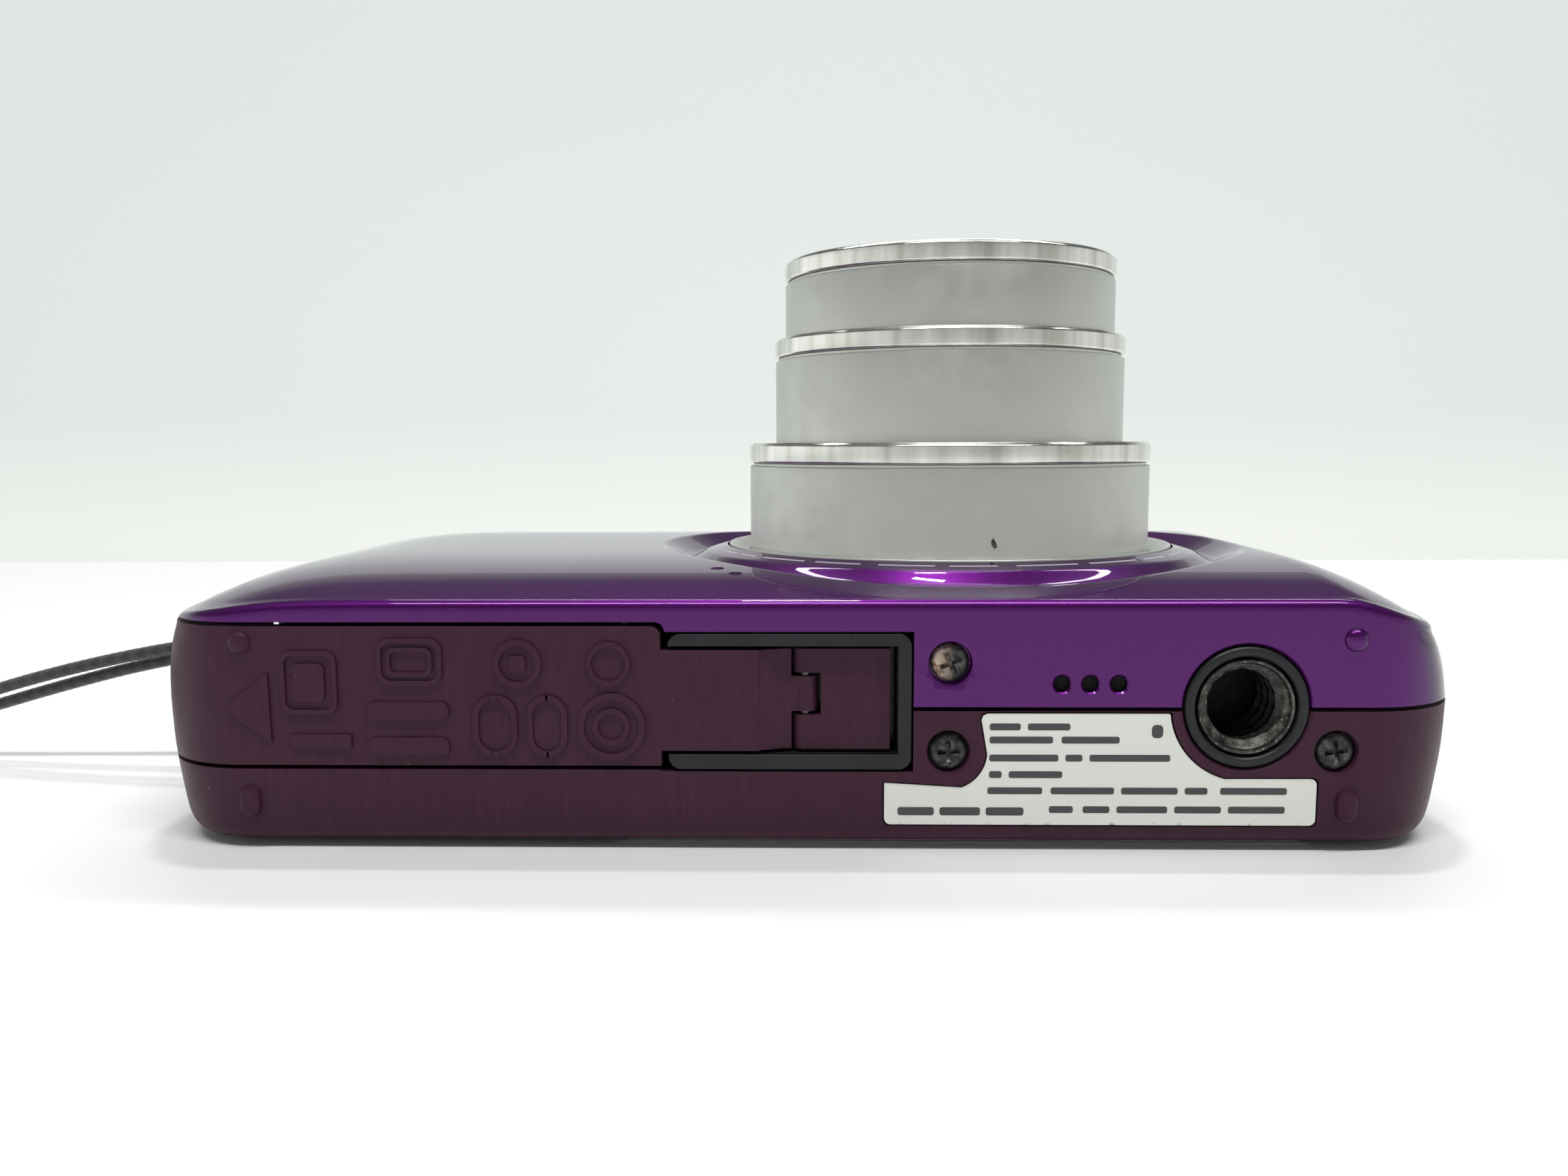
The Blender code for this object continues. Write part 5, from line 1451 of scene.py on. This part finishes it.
def area_light(name, place, target, size, watts):
    data = bpy.data.lights.new(name, "AREA")
    data.shape = "RECTANGLE"
    data.size, data.size_y = [s * MM for s in size]
    data.energy = watts
    data.color = (1.0, 1.0, 0.985)
    item = bpy.data.objects.new(name, data)
    bpy.context.collection.objects.link(item)
    item.location = Vector(place) * MM
    item.rotation_euler = (Vector(target) - Vector(place)).to_track_quat("-Z", "Y").to_euler()


def lights():
    """A room that is brightest near the horizon, beyond the object and to its left; two tubes, a lamp."""
    world = bpy.data.worlds.new("room")
    world.use_nodes = True
    tree = world.node_tree
    background = tree.nodes["Background"]
    direction = tree.nodes.new("ShaderNodeSeparateXYZ")
    tree.links.new(tree.nodes.new("ShaderNodeTexCoord").outputs["Generated"], direction.inputs[0])
    levels = []
    for axis, low, high, start, end in (("Y", -1.0, -0.1, 0.7, 1.25), ("Z", 0.2, 0.45, 1.0, 0.16),
                                        ("X", -0.6, 0.9, 0.88, 0.64)):
        ramp = tree.nodes.new("ShaderNodeMapRange")
        for key, value in (("From Min", low), ("From Max", high), ("To Min", start), ("To Max", end)):
            ramp.inputs[key].default_value = value
        tree.links.new(direction.outputs[axis], ramp.inputs["Value"])
        levels.append(ramp.outputs["Result"])
    strength = levels[0]
    for factor in levels[1:]:
        product = tree.nodes.new("ShaderNodeMath")
        product.operation = "MULTIPLY"
        tree.links.new(strength, product.inputs[0])
        tree.links.new(factor, product.inputs[1])
        strength = product.outputs[0]
    tree.links.new(strength, background.inputs["Strength"])
    background.inputs["Color"].default_value = (0.975, 1.0, 0.965, 1.0)
    bpy.context.scene.world = world
    area_light("tube_back", (100, 465, 775), (60, 0, 0), (900, 60), 2.8)
    area_light("tube_front", (80, -270, 820), (60, 0, 0), (800, 80), 5.0)
    area_light("lamp", (-10, 185, 850), (13, -24, 19), (90, 30), 1.6)


def build():
    make_camera()
    strap()
    skin = envelope()
    front_cover(skin)
    rear_cover(skin)
    battery_door(skin)
    flash_and_lamp(skin)
    skin.free()
    door_slider()
    door_rail_frame()
    screws()
    tripod_socket()
    rating_label()
    lens_trim_ring()
    lens_barrels()
    lens_front()
    plateau_marks()
    screen()
    back_controls()
    top_controls()
    kept_nodes()
    stage()
    lights()
    bpy.context.scene.view_settings.view_transform = "Standard"


build()
